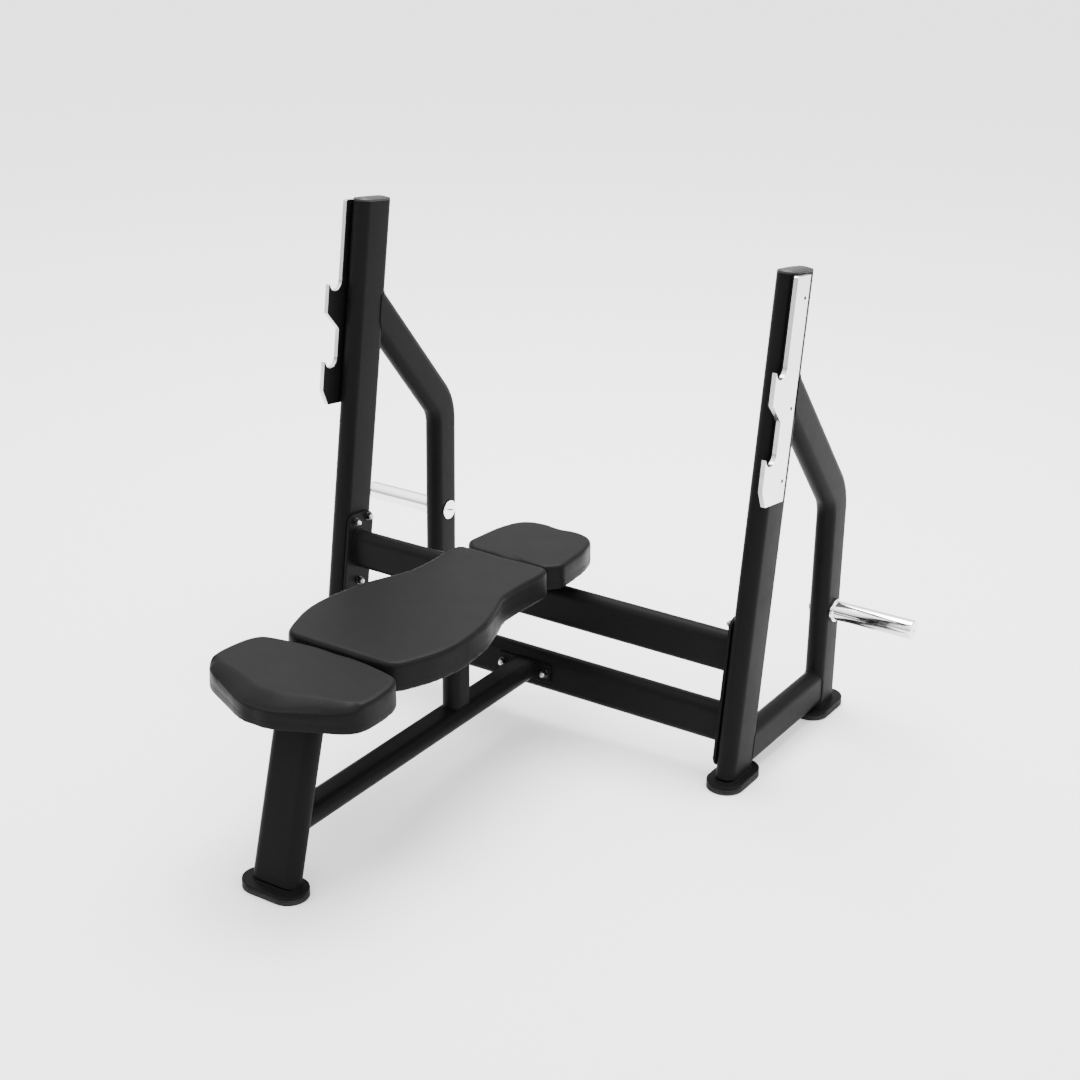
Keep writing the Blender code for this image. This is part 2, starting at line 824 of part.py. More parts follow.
def round_edges(mesh, height, radius, segments):
    """Rounds the outline's edge at that height, after joining its flat face into one."""
    shape = bmesh.new()
    shape.from_mesh(mesh)
    flat = [face for face in shape.faces if all(abs(v.co.z - height) < 1e-5 for v in face.verts)]
    bmesh.ops.dissolve_faces(shape, faces=flat)
    rim = [edge for edge in shape.edges if all(abs(v.co.z - height) < 1e-5 for v in edge.verts)]
    bmesh.ops.bevel(
        shape,
        geom=rim,
        offset=radius,
        segments=segments,
        profile=0.5,
        affect="EDGES",
        clamp_overlap=False,
    )
    shape.to_mesh(mesh)
    shape.free()


def pad(name, half_outline, thick, low):
    """A pad of that thickness in all: a plywood board, and a cushion with a round top edge on it."""
    outline = smooth_outline(half_outline)
    board = flat_mesh(inset_outline(outline, BOARD_INSET), BOARD_THICK)
    place(board, f"{name}_board", PLYWOOD, (0, 0, low + BOARD_THICK / 2), parent=TOP)
    height = thick - BOARD_THICK - GAP
    cushion = flat_mesh(outline, height)
    round_edges(cushion, height / 2, CUSHION_ROUND, 3)
    place(cushion, f"{name}_cushion", VINYL, (0, 0, low + thick - height / 2), parent=TOP)


def pads():
    """The cross plates on the upper spine and the three pads on them, in the top's own frame."""
    width, depth, thick = BRACKET
    low = TOP_SPINE_HEIGHT + GAP
    for name, y in BRACKETS_Y.items():
        plate = flat_mesh(rounded_rectangle(width, depth, 0.006), thick)
        place(plate, f"{name}_bracket", BLACK, (0, y, low + thick / 2), parent=TOP)
    for name, half_outline, height in (
        ("seat", SEAT_HALF, SEAT_THICK),
        ("back", BACK_HALF, BACK_THICK),
        ("head", HEAD_HALF, HEAD_THICK),
    ):
        pad(name, half_outline, height, low + thick + GAP)


def main():
    """Builds the bench."""
    uprights = {label: side_frame(label, side) for label, side in SIDES}
    beams = cross_member(uprights)
    middle_frame(beams["lower"])
    pads()


main()
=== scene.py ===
"""Looks of a flat bench press: black powder-coated tube, chrome catches and pegs, vinyl pads.

Every visible piece is a surface worked out with numpy and rides on the fixed model's one body.
X runs across the bench, Y from the seat end to the head end and Z up, in metres.
"""

import logging
import math
from dataclasses import dataclass
from enum import Enum

import bmesh
import bpy
import numpy as np
from mathutils import Matrix, Vector


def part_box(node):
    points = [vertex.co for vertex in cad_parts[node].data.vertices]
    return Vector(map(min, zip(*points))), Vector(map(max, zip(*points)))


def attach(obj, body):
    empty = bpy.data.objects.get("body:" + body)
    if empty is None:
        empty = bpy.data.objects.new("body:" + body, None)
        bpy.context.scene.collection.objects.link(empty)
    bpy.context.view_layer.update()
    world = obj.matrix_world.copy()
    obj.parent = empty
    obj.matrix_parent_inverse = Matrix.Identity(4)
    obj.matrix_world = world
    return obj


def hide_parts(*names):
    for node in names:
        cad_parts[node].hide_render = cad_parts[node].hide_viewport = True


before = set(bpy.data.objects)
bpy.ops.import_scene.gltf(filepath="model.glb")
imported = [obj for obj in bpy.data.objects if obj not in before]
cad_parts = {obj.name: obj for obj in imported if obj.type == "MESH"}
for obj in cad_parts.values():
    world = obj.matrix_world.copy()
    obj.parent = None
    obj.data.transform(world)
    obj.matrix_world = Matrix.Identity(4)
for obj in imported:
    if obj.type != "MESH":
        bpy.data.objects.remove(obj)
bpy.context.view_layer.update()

BODY = "root"
RANGE_INPUTS = ("From Min", "From Max", "To Min", "To Max")
log = logging.getLogger("bench_press")

Pair = tuple[float, float]
Triple = tuple[float, float, float]
Socket = bpy.types.NodeSocket


class Side(Enum):
    """The bench's two sides, with the sign of X."""

    LEFT = -1
    RIGHT = 1

    @property
    def label(self) -> str:
        """The side's name as the model's nodes spell it."""
        return self.name.lower()


class Slot(Enum):
    """Material slots of the record."""

    FRAME = "frame"
    CHROME = "chrome"
    BOLT = "bolt"
    RUBBER = "rubber"
    PLASTIC = "plastic"
    VINYL = "vinyl"


# ---------------------------------------------------------------- shapes


def grid_quads(rows: int, cols: int) -> np.ndarray:
    """Faces between neighbouring rows of a grid whose columns close on themselves.

    Args:
        rows: number of rings.
        cols: number of points round each ring.

    Returns:
        Vertex numbers of each quad, four to a row.
    """
    ring, spot = np.meshgrid(np.arange(rows - 1), np.arange(cols), indexing="ij")
    following = (spot + 1) % cols
    corners = (
        ring * cols + spot,
        ring * cols + following,
        (ring + 1) * cols + following,
        (ring + 1) * cols + spot,
    )
    return np.stack(corners, axis=-1).reshape(-1, 4)


@dataclass(frozen=True)
class Shell:
    """Points and faces of a closed surface."""

    points: np.ndarray
    faces: list

    @classmethod
    def from_rings(cls, rings: np.ndarray) -> "Shell":
        """Joins rings of points in order and closes the first and the last with one face each.

        Args:
            rings: array of shape (rings, points round each, 3).
        """
        count, around, _ = rings.shape
        faces = grid_quads(count, around).tolist()
        faces.append(list(range(around))[::-1])
        faces.append(list(range((count - 1) * around, count * around)))
        return cls(rings.reshape(-1, 3), faces)

    def moved(self, matrix: Matrix) -> "Shell":
        """The shell under a 4 by 4 matrix: every point is turned, then shifted."""
        turn = np.array(matrix.to_3x3())
        return Shell(self.points @ turn.T + np.array(matrix.translation), self.faces)

    def plus(self, other: "Shell") -> "Shell":
        """Both shells as one, the other's vertex numbers shifted past this one's."""
        start = len(self.points)
        shifted = [[number + start for number in face] for face in other.faces]
        return Shell(np.vstack((self.points, other.points)), self.faces + shifted)


def flat_oval(depth: float, across: float, per_half: int = 24) -> np.ndarray:
    """Points round a flat oval: two half circles of the smaller size, joined by straight sides.

    Each point is the circle's point at its angle, pushed out along the longer axis by half of the
    difference between the two sizes, on the side that it is on.

    Args:
        depth: size along the first coordinate.
        across: size along the second coordinate.
        per_half: steps round each half circle.

    Returns:
        Array of shape (points, 2).
    """
    radius = min(depth, across) / 2
    angle = np.linspace(0, math.pi, per_half + 1)
    if depth >= across:
        right = np.stack((np.sin(angle), -np.cos(angle)), axis=1) * radius
        push = np.array((depth / 2 - radius, 0))
    else:
        right = np.stack((np.cos(angle), np.sin(angle)), axis=1) * radius
        push = np.array((0, across / 2 - radius))
    return np.vstack((right + push, -right - push))


def rounded_box(width: float, height: float, radius: float, steps: int = 8) -> np.ndarray:
    """Points round a rectangle with round corners: a quarter circle about each corner's centre."""
    angle = np.linspace(0, math.pi / 2, steps + 1)
    quarter = np.stack((np.cos(angle), np.sin(angle)), axis=1) * radius
    reach = np.array((width / 2 - radius, height / 2 - radius))
    corners = []
    for turns, sign in enumerate(((1, 1), (-1, 1), (-1, -1), (1, -1))):
        cos, sin = round(math.cos(turns * math.pi / 2)), round(math.sin(turns * math.pi / 2))
        corners.append(quarter @ np.array(((cos, sin), (-sin, cos))) + reach * sign)
    return np.vstack(corners)


def swept(path: np.ndarray, side: np.ndarray, profile: np.ndarray) -> Shell:
    """A closed bar: a profile carried along a flat path.

    A ring's point is the path's point, plus the profile's first coordinate along the path's normal
    in its own plane, plus the second along the fixed side direction.

    Args:
        path: points of shape (steps, 3), in a plane square to side.
        side: unit direction square to the path's plane.
        profile: points of shape (around, 2).
    """
    tangent = np.gradient(path, axis=0)
    tangent /= np.linalg.norm(tangent, axis=1, keepdims=True)
    normal = np.cross(side, tangent)
    rings = (
        path[:, None, :]
        + profile[None, :, :1] * normal[:, None, :]
        + profile[None, :, 1:] * side[None, None, :]
    )
    return Shell.from_rings(rings)


def turned(profile: np.ndarray, count: int = 64) -> Shell:
    """A turned piece about Z: each (radius, height) pair of the profile swept round a full circle.

    Args:
        profile: array of shape (steps, 2), from the bottom's edge to the top's.
        count: points round the circle.
    """
    angle = np.arange(count) * 2 * math.pi / count
    radius, height = profile[:, :1], profile[:, 1:]
    rings = np.stack(
        (
            radius * np.cos(angle)[None, :],
            radius * np.sin(angle)[None, :],
            np.broadcast_to(height, (len(profile), count)),
        ),
        axis=-1,
    )
    return Shell.from_rings(rings)


def oval_slab(depth: float, across: float, levels: np.ndarray) -> Shell:
    """A flat-oval slab: at each level the oval is smaller on every side by the level's inset.

    Args:
        depth: size along X.
        across: size along Y.
        levels: (height, inset) pairs from the bottom to the top, of shape (levels, 2).
    """
    rings = [
        np.column_stack(
            (flat_oval(depth - 2 * inset, across - 2 * inset), np.full(50, height))
        )
        for height, inset in levels
    ]
    return Shell.from_rings(np.array(rings))


def round_rim(low: float, high: float, radius: float, steps: int = 5) -> np.ndarray:
    """(height, inset) levels of a slab whose two edges are quarter circles of the radius."""
    angle = np.linspace(0, math.pi / 2, steps + 1)
    inset = radius * (1 - np.cos(angle))
    rise = radius * (1 - np.sin(angle))
    lower = np.column_stack((low + rise[::-1], inset[::-1]))
    upper = np.column_stack((high - rise, inset))
    return np.vstack((lower, upper))


def extruded(outline: np.ndarray, thickness: float) -> Shell:
    """A plate: the outline in XY at both faces, half of the thickness above and below Z = 0."""
    flat = np.column_stack((outline, np.full(len(outline), -thickness / 2)))
    lifted = flat + np.array((0, 0, thickness))
    return Shell.from_rings(np.array((flat, lifted)))


def bead(loop: np.ndarray, radius: float, pitch: float = 0.006) -> Shell:
    """A weld bead round a closed loop: a small circle whose size ripples along the loop.

    The circle lies in the plane of two directions square to the loop. Its radius is the given one
    times 1 plus a tenth of the sine of the distance run over the pitch.

    Args:
        loop: points of shape (steps, 3), closed.
        radius: the bead's mean radius.
        pitch: distance between ripples.
    """
    chord = np.linalg.norm(np.roll(loop, -1, axis=0) - loop, axis=1)
    run = np.concatenate(((0,), np.cumsum(chord)))
    ripples = max(8, round(run[-1] / pitch))
    steps = ripples * 5
    place = np.arange(steps) * run[-1] / steps
    ring = np.vstack((loop, loop[:1]))
    path = np.stack([np.interp(place, run, ring[:, axis]) for axis in range(3)], axis=1)
    tangent = np.roll(path, -1, axis=0) - np.roll(path, 1, axis=0)
    tangent /= np.linalg.norm(tangent, axis=1, keepdims=True)
    outward = path - path.mean(axis=0)
    first = np.cross(tangent, outward)
    first /= np.linalg.norm(first, axis=1, keepdims=True)
    second = np.cross(tangent, first)
    angle = np.arange(8) * math.pi / 4
    size = radius * (1 + 0.10 * np.sin(2 * math.pi * ripples * np.arange(steps) / steps))
    rings = path[:, None] + size[:, None, None] * (
        np.cos(angle)[None, :, None] * first[:, None]
        + np.sin(angle)[None, :, None] * second[:, None]
    )
    quads = grid_quads(steps + 1, 8) % (steps * 8)
    return Shell(rings.reshape(-1, 3), quads.tolist())


def meet_plane(
    profile: np.ndarray, origin: np.ndarray, along: np.ndarray, side: np.ndarray, plane: np.ndarray
) -> np.ndarray:
    """Where a straight tube's surface lines run through a plane.

    Each profile point starts a line along the tube. The line's length is the distance from the
    point to the plane over the line's share of the plane's normal.

    Args:
        profile: the tube's section, (in plane, across) pairs.
        origin: a point on the tube's axis.
        along: the axis's unit direction.
        side: the section's across direction.
        plane: unit normal and offset, four numbers.

    Returns:
        One point for each profile point.
    """
    normal = np.cross(side, along)
    start = origin + profile[:, :1] * normal + profile[:, 1:] * side
    length = (plane[3] - start @ plane[:3]) / (along @ plane[:3])
    return start + length[:, None] * along


def meet_round(
    profile: np.ndarray,
    origin: np.ndarray,
    along: np.ndarray,
    center: np.ndarray,
    outward: np.ndarray,
    radius: float,
) -> np.ndarray:
    """Where a tube that lies in the side view runs into another tube's half-round edge.

    At a distance x from the middle, the edge stands out from its centre line by the square root of
    the radius squared less x squared, and each surface line stops where it is out that far.

    Args:
        profile: the tube's section, (in plane, across) pairs.
        origin: a point on the tube's axis.
        along: the axis's unit direction.
        center: a point on the half-round edge's centre line.
        outward: unit direction in which the edge stands out.
        radius: the edge's radius.

    Returns:
        One point for each profile point.
    """
    side = np.array((1.0, 0.0, 0.0))
    normal = np.cross(side, along)
    start = origin + profile[:, :1] * normal + profile[:, 1:] * side
    reach = np.sqrt(np.maximum(radius**2 - profile[:, 1] ** 2, 0))
    length = (reach - (start - center) @ outward) / (along @ outward)
    return start + length[:, None] * along


def clean_mesh(name: str, shell: Shell) -> bpy.types.Mesh:
    """A Blender mesh of the shell, its faces turned to point outwards."""
    mesh = bpy.data.meshes.new(name)
    mesh.from_pydata(shell.points.tolist(), [], shell.faces)
    shape = bmesh.new()
    shape.from_mesh(mesh)
    bmesh.ops.remove_doubles(shape, verts=shape.verts, dist=1e-6)
    bmesh.ops.recalc_face_normals(shape, faces=shape.faces)
    shape.to_mesh(mesh)
    shape.free()
    return mesh


@dataclass(frozen=True)
class Piece:
    """A finished piece: its surface, its finish and the nodes that it stands for."""

    name: str
    shell: Shell
    material: bpy.types.Material
    slot: Slot
    nodes: tuple[str, ...] = ()
    edge: float = 0.0
    sharp: float = 40.0
    rim: bpy.types.Material | None = None

    def show(self) -> bpy.types.Object:
        """Puts the piece into the scene at the origin, and makes it ride on the bench.

        Where a rim finish is given, it goes on the faces that don't look along X; the bar catch
        puts a darker chrome there as painted shade on its plate's edges.
        """
        mesh = clean_mesh(self.name, self.shell)
        mesh.shade_smooth()
        mesh.set_sharp_from_angle(angle=math.radians(self.sharp))
        mesh.materials.append(self.material)
        if self.rim:
            mesh.materials.append(self.rim)
            # Faces that don't look along X take the rim finish; on the catch plates this is a
            # darker chrome, painted shade for their dimmer reflection.
            normals = np.empty(len(mesh.polygons) * 3, np.float32)
            mesh.polygons.foreach_get("normal", normals)
            painted_shade_faces = np.abs(normals.reshape(-1, 3)[:, 0]) < 0.5
            mesh.polygons.foreach_set("material_index", painted_shade_faces.astype(np.int32))
        obj = bpy.data.objects.new(self.name, mesh)
        bpy.context.scene.collection.objects.link(obj)
        if self.edge:
            rounding = obj.modifiers.new("edge", "BEVEL")
            rounding.width = self.edge
            rounding.segments = 3
            rounding.limit_method = "ANGLE"
            rounding.angle_limit = math.radians(40)
            rounding.harden_normals = True
        dress(obj, self.nodes)
        return obj


def dress(obj: bpy.types.Object, nodes: tuple[str, ...]) -> None:
    """Ties an object to the bench and the nodes that it stands for."""
    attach(obj, BODY)
    if nodes:
        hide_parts(*nodes)
    stands_for = ", ".join(nodes) or "-"
    log.info("%s: %d faces, stands for %s", obj.name, len(obj.data.polygons), stands_for)


# -------------------------------------------------------------- finishes


class NodeTree:
    """Short ways to add and join the nodes of one material."""

    def __init__(self, name: str) -> None:
        """Starts a material with its Principled shader and Object coordinates."""
        self.material = bpy.data.materials.new(name)
        self.material.use_nodes = True
        self.tree = self.material.node_tree
        self.shader = self.tree.nodes["Principled BSDF"]
        self.place = self.add("ShaderNodeTexCoord").outputs["Object"]

    def add(self, kind: str, **settings: object) -> bpy.types.Node:
        """A new node with these properties set."""
        node = self.tree.nodes.new(kind)
        for name, value in settings.items():
            setattr(node, name, value)
        return node

    def join(self, source: Socket, target: Socket) -> None:
        """Links an output to an input."""
        self.tree.links.new(source, target)

    def noise(self, scale: float, detail: float = 2.0, roughness: float = 0.5) -> Socket:
        """Smooth noise on Object coordinates, about 0.5 on average."""
        node = self.add("ShaderNodeTexNoise")
        node.inputs["Scale"].default_value = scale
        node.inputs["Detail"].default_value = detail
        node.inputs["Roughness"].default_value = roughness
        self.join(self.place, node.inputs["Vector"])
        return node.outputs["Fac"]

    def cells(self, scale: float, feature: str = "DISTANCE_TO_EDGE") -> Socket:
        """Distance to the edges of small cells, on Object coordinates."""
        node = self.add("ShaderNodeTexVoronoi", feature=feature)
        node.inputs["Scale"].default_value = scale
        self.join(self.place, node.inputs["Vector"])
        return node.outputs["Distance"]

    def remap(self, value: Socket, old: Pair, new: Pair) -> Socket:
        """The value carried from one range to another, and held inside it."""
        node = self.add("ShaderNodeMapRange")
        for name, number in zip(RANGE_INPUTS, (*old, *new)):
            node.inputs[name].default_value = number
        self.join(value, node.inputs["Value"])
        return node.outputs["Result"]

    def blend(self, share: Socket, low: Triple, high: Triple) -> Socket:
        """A colour between two, by share."""
        node = self.add("ShaderNodeMix", data_type="RGBA")
        node.inputs["A"].default_value = (*low, 1)
        node.inputs["B"].default_value = (*high, 1)
        self.join(share, node.inputs["Factor"])
        return node.outputs["Result"]

    def mottled(
        self, scale: float, detail: float, span: Pair, low: Triple, high: Triple
    ) -> Socket:
        """A colour that goes from one to another in soft patches."""
        return self.blend(self.remap(self.noise(scale, detail), span, (0, 1)), low, high)

    def bump(
        self,
        height: Socket,
        distance: float,
        strength: float = 1.0,
        under: Socket | None = None,
    ) -> Socket:
        """A normal raised by the height, on top of another normal if one is given."""
        node = self.add("ShaderNodeBump")
        node.inputs["Strength"].default_value = strength
        node.inputs["Distance"].default_value = distance
        self.join(height, node.inputs["Height"])
        if under is not None:
            self.join(under, node.inputs["Normal"])
        return node.outputs["Normal"]

    def surface(self, color: Socket, roughness: Socket, normal: Socket) -> bpy.types.Material:
        """Ends the material: colour, roughness and normal into the shader."""
        self.join(color, self.shader.inputs["Base Color"])
        self.join(roughness, self.shader.inputs["Roughness"])
        self.join(normal, self.shader.inputs["Normal"])
        return self.material


@dataclass(frozen=True)
class PowderCoat:
    """Satin black powder coat: fine orange peel and slight changes of gloss."""

    name: str = "satin_black_powder_coat"
    color: Triple = (0.0046, 0.0046, 0.0047)
    faded: Triple = (0.0052, 0.0052, 0.0053)
    roughness: Pair = (0.39, 0.43)
    gloss: float = 0.03

    def make(self) -> bpy.types.Material:
        """Builds the material."""
        tree = NodeTree(self.name)
        tree.shader.inputs["Specular IOR Level"].default_value = self.gloss
        color = tree.mottled(7.0, 3.0, (0.3, 0.7), self.color, self.faded)
        roughness = tree.remap(tree.noise(32.0, 3.0), (0.3, 0.7), self.roughness)
        peel = tree.bump(tree.noise(420.0, 1.5), 0.0004, 0.12)
        grain = tree.bump(tree.noise(2400.0, 1.0), 0.00008, 0.25, peel)
        return tree.surface(color, roughness, grain)


@dataclass(frozen=True)
class Chrome:
    """Polished chrome plate with a faint haze and hairline polishing marks."""

    name: str = "polished_chrome"
    color: Triple = (0.88, 0.885, 0.89)
    hazed: Triple = (0.80, 0.805, 0.81)
    roughness: Pair = (0.07, 0.16)

    def make(self) -> bpy.types.Material:
        """Builds the material."""
        tree = NodeTree(self.name)
        tree.shader.inputs["Metallic"].default_value = 1.0
        color = tree.mottled(11.0, 2.0, (0.35, 0.7), self.color, self.hazed)
        roughness = tree.remap(tree.noise(55.0, 4.0), (0.3, 0.75), self.roughness)
        marks = tree.bump(tree.noise(900.0, 2.0), 0.00005, 0.12)
        return tree.surface(color, roughness, marks)


@dataclass(frozen=True)
class ZincSteel:
    """Zinc-plated fasteners: bright, slightly blotched grey metal."""

    name: str = "zinc_plated_steel"
    color: Triple = (0.55, 0.56, 0.57)
    dull: Triple = (0.34, 0.35, 0.36)

    def make(self) -> bpy.types.Material:
        """Builds the material."""
        tree = NodeTree(self.name)
        tree.shader.inputs["Metallic"].default_value = 1.0
        color = tree.mottled(160.0, 2.0, (0.35, 0.65), self.color, self.dull)
        roughness = tree.remap(tree.noise(260.0), (0.3, 0.7), (0.24, 0.42))
        return tree.surface(color, roughness, tree.bump(tree.noise(1600.0), 0.0001, 0.2))


@dataclass(frozen=True)
class DarkSteel:
    """Blackened steel of the nuts and washers: dark metal with lighter worn patches."""

    name: str = "blackened_steel"
    color: Triple = (0.035, 0.035, 0.037)
    worn: Triple = (0.11, 0.11, 0.115)

    def make(self) -> bpy.types.Material:
        """Builds the material."""
        tree = NodeTree(self.name)
        tree.shader.inputs["Metallic"].default_value = 1.0
        color = tree.mottled(180.0, 3.0, (0.5, 0.75), self.color, self.worn)
        roughness = tree.remap(tree.noise(240.0), (0.3, 0.7), (0.22, 0.40))
        return tree.surface(color, roughness, tree.bump(tree.noise(1500.0), 0.0001, 0.2))


@dataclass(frozen=True)
class Matt:
    """Matt black rubber or moulded plastic with a fine pitted skin."""

    name: str
    color: Triple
    worn: Triple
    roughness: Pair
    pits: float

    def make(self) -> bpy.types.Material:
        """Builds the material."""
        tree = NodeTree(self.name)
        tree.shader.inputs["Specular IOR Level"].default_value = 0.25
        color = tree.mottled(24.0, 4.0, (0.4, 0.75), self.color, self.worn)
        roughness = tree.remap(tree.noise(90.0), (0.3, 0.7), self.roughness)
        return tree.surface(color, roughness, tree.bump(tree.cells(self.pits), 0.0002, 0.35))


@dataclass(frozen=True)
class Upholstery:
    """Black upholstery vinyl: pebbled grain over soft unevenness of the stretched skin."""

    name: str = "black_upholstery_vinyl"
    color: Triple = (0.0044, 0.0044, 0.0045)
    sheen: Triple = (0.0050, 0.0050, 0.0051)
    roughness: Pair = (0.36, 0.41)
    gloss: float = 0.042
    grain: float = 900.0

    def make(self) -> bpy.types.Material:
        """Builds the material."""
        tree = NodeTree(self.name)
        tree.shader.inputs["Specular IOR Level"].default_value = self.gloss
        color = tree.mottled(5.0, 3.0, (0.3, 0.7), self.color, self.sheen)
        roughness = tree.remap(tree.noise(18.0, 4.0), (0.3, 0.7), self.roughness)
        soft = tree.bump(tree.noise(26.0, 2.0), 0.0016, 0.12)
        pebbles = tree.bump(tree.cells(self.grain), 0.00025, 0.45, soft)
        return tree.surface(color, roughness, pebbles)


@dataclass
class Finishes:
    """The bench's finishes, each made once."""

    coat: bpy.types.Material
    chrome: bpy.types.Material
    chrome_edge: bpy.types.Material
    zinc: bpy.types.Material
    rubber: bpy.types.Material
    plastic: bpy.types.Material
    vinyl: bpy.types.Material
    dark_steel: bpy.types.Material

    @classmethod
    def make(cls) -> "Finishes":
        """Makes every finish."""
        rubber = Matt("black_rubber", (0.005,) * 3, (0.009,) * 3, (0.62, 0.8), 700.0)
        plastic = Matt("black_plastic", (0.010,) * 3, (0.014,) * 3, (0.4, 0.5), 1100.0)
        # The darker chrome for the catch plates' edge faces is painted shade: it stands in for the
        # dimmer reflection that those faces catch.
        edge = Chrome("brushed_chrome_edge", (0.52, 0.525, 0.53), (0.44, 0.445, 0.45), (0.2, 0.3))
        return cls(
            coat=PowderCoat().make(),
            chrome=Chrome().make(),
            chrome_edge=edge.make(),
            zinc=ZincSteel().make(),
            rubber=rubber.make(),
            plastic=plastic.make(),
            vinyl=Upholstery().make(),
            dark_steel=DarkSteel().make(),
        )


Nodes = tuple[str, ...]


class Coated:
    """A sub-assembly with powder-coated pieces."""

    def coat(self, name: str, shell: Shell, nodes: Nodes = (), edge: float = 0.0) -> None:
        """Shows a powder-coated piece."""
        Piece(name, shell, self.finishes.coat, Slot.FRAME, nodes, edge).show()


# ---------------------------------------------------------- side frames


def corners(node: str) -> tuple[np.ndarray, np.ndarray]:
    """A node's lowest and highest corners."""
    low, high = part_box(node)
    return np.array(low), np.array(high)


def middle(node: str) -> np.ndarray:
    """The middle of a node's box."""
    low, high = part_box(node)
    return np.array((low + high) / 2)


def low_of(node: str) -> np.ndarray:
    """The lowest corner of a node's box."""
    return np.array(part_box(node)[0])


def high_of(node: str) -> np.ndarray:
    """The highest corner of a node's box."""
    return np.array(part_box(node)[1])


X_AXIS = np.array((1.0, 0.0, 0.0))
Y_AXIS = np.array((0.0, 1.0, 0.0))
Z_AXIS = np.array((0.0, 0.0, 1.0))


@dataclass
class Lean:
    """The leaning axis of an upright in the side view, from its point on the floor."""

    foot: np.ndarray
    angle: float

    @property
    def along(self) -> np.ndarray:
        """Unit direction up the upright."""
        return np.array((0.0, math.sin(self.angle), math.cos(self.angle)))

    @property
    def behind(self) -> np.ndarray:
        """Unit direction square to it, to the rear."""
        return np.array((0.0, math.cos(self.angle), -math.sin(self.angle)))

    def at(self, along: float, behind: float = 0.0, across: float = 0.0) -> np.ndarray:
        """A point from distances along the axis, behind it and across the bench."""
        return self.foot + along * self.along + behind * self.behind + across * X_AXIS


@dataclass
class SideFrame:
    """One upright with its cap, the bent rear brace, the low side beam and their feet."""

    side: Side
    finishes: Finishes
    lean: float = math.radians(8.0)
    tube_across: float = 0.052
    upright_depth: float = 0.122
    upright_top: float = 1.234
    rear_depth: float = 0.101
    brace_top: float = 0.9765
    brace_slope: float = math.radians(49.85)
    bend_radius: float = 0.120
    beam_height: float = 0.100
    beam_across: float = 0.049
    weld: float = 0.0024

    def __post_init__(self) -> None:
        """Finds the frame's place from the model's nodes."""
        self.x = float(middle(self.node("upright"))[0])
        top = high_of(self.node("upright"))
        # The upright's rear top corner is half its depth behind the axis at its top.
        foot_y = top[1] - self.upright_top * math.sin(self.lean)
        foot_y -= (self.upright_depth - self.tube_across) / 2 * math.cos(self.lean)
        foot_y -= self.tube_across / 2 * math.cos(self.lean)
        self.axis = Lean(np.array((self.x, foot_y, 0.0)), self.lean)
        self.rear_y = float(middle(self.node("rear_foot_plate"))[1])
        self.floor_plate = float(high_of(self.node("front_foot_plate"))[2])
        self.beam_z = float(middle(self.node("side_beam"))[2])

    def node(self, part: str) -> str:
        """A node's name on this side."""
        return f"{self.side.label}_{part}"

    def coat(self, part: str, shell: Shell, nodes: Nodes = (), edge: float = 0.0) -> None:
        """Shows a powder-coated piece of this side."""
        Piece(self.node(part), shell, self.finishes.coat, Slot.FRAME, nodes, edge).show()

    def upright(self) -> None:
        """The leaning flat-oval tube, from the foot plate to the cap."""
        low = self.axis.at(self.floor_plate / math.cos(self.lean) - 0.001)
        high = self.axis.at(self.upright_top)
        path = np.linspace(low, high, 3)
        tube = swept(path, X_AXIS, flat_oval(self.upright_depth, self.tube_across))
        self.coat("upright_tube", tube, (self.node("upright"),))

    def cap(self) -> None:
        """The cap: a lid with a round rim, a shallow groove and a slightly domed middle."""
        levels = np.array(
            (
                (0.0000, 0.0006),
                (0.0004, 0.0000),
                (0.0036, 0.0000),
                (0.0049, 0.0005),
                (0.0058, 0.0016),
                (0.0060, 0.0030),
                (0.0059, 0.0044),
                (0.0046, 0.0052),
                (0.0046, 0.0060),
                (0.0060, 0.0070),
                (0.0074, 0.0100),
                (0.0088, 0.0150),
                (0.0094, 0.0200),
                (0.0095, 0.0240),
            )
        )
        slab = oval_slab(self.tube_across, self.upright_depth, levels)
        base = self.axis.at(self.upright_top + 0.0001)
        matrix = Matrix.Translation(Vector(base)) @ Matrix.Rotation(-self.lean, 4, "X")
        name = self.node("upright_cap")
        shell = slab.moved(matrix)
        Piece(f"{name}_lid", shell, self.finishes.plastic, Slot.PLASTIC, (name,)).show()

    def brace_path(self) -> np.ndarray:
        """The brace's centre line: a straight slope, an arc and a plumb line."""
        top_y = self.axis.foot[1] + self.brace_top * math.tan(self.lean)
        bend_z = self.brace_top - (self.rear_y - top_y) * math.tan(self.brace_slope)
        turn = math.pi / 2 - self.brace_slope
        center_y = self.rear_y - self.bend_radius
        center_z = bend_z - self.bend_radius * math.tan(turn / 2)
        angle = np.linspace(turn, 0, 25)
        arc = np.column_stack(
            (
                np.full(25, self.x),
                center_y + self.bend_radius * np.cos(angle),
                center_z + self.bend_radius * np.sin(angle),
            )
        )
        top = np.array((self.x, top_y, self.brace_top))
        low = np.array((self.x, self.rear_y, self.floor_plate - 0.001))
        # The mouth's surface lines end up to 0.12 from the axis, so the next ring is past them.
        upper = np.vstack((top, np.linspace(top + (arc[0] - top) * 0.36, arc[0], 6)[:-1]))
        lower = np.linspace(arc[-1], low, 8)[1:]
        return np.vstack((upper, arc, lower))

    def brace(self) -> None:
        """The bent brace, run into the upright's rounded rear, with its weld."""
        profile = flat_oval(self.rear_depth, self.tube_across)
        path = self.brace_path()
        along = path[1] - path[0]
        along /= np.linalg.norm(along)
        tube = swept(path, X_AXIS, profile)
        around = len(profile)
        # The tube's first ring is its mouth, cut to the upright's rounded rear and sunk into it.
        mouth = self.on_upright(profile, path[0], along) - along * 0.004
        tube = Shell(np.vstack((mouth, tube.points[around:])), tube.faces)
        self.coat("brace_tube", tube, (self.node("rear_brace"),))
        self.coat("brace_weld", bead(self.on_upright(profile * 1.002, path[0], along), self.weld))

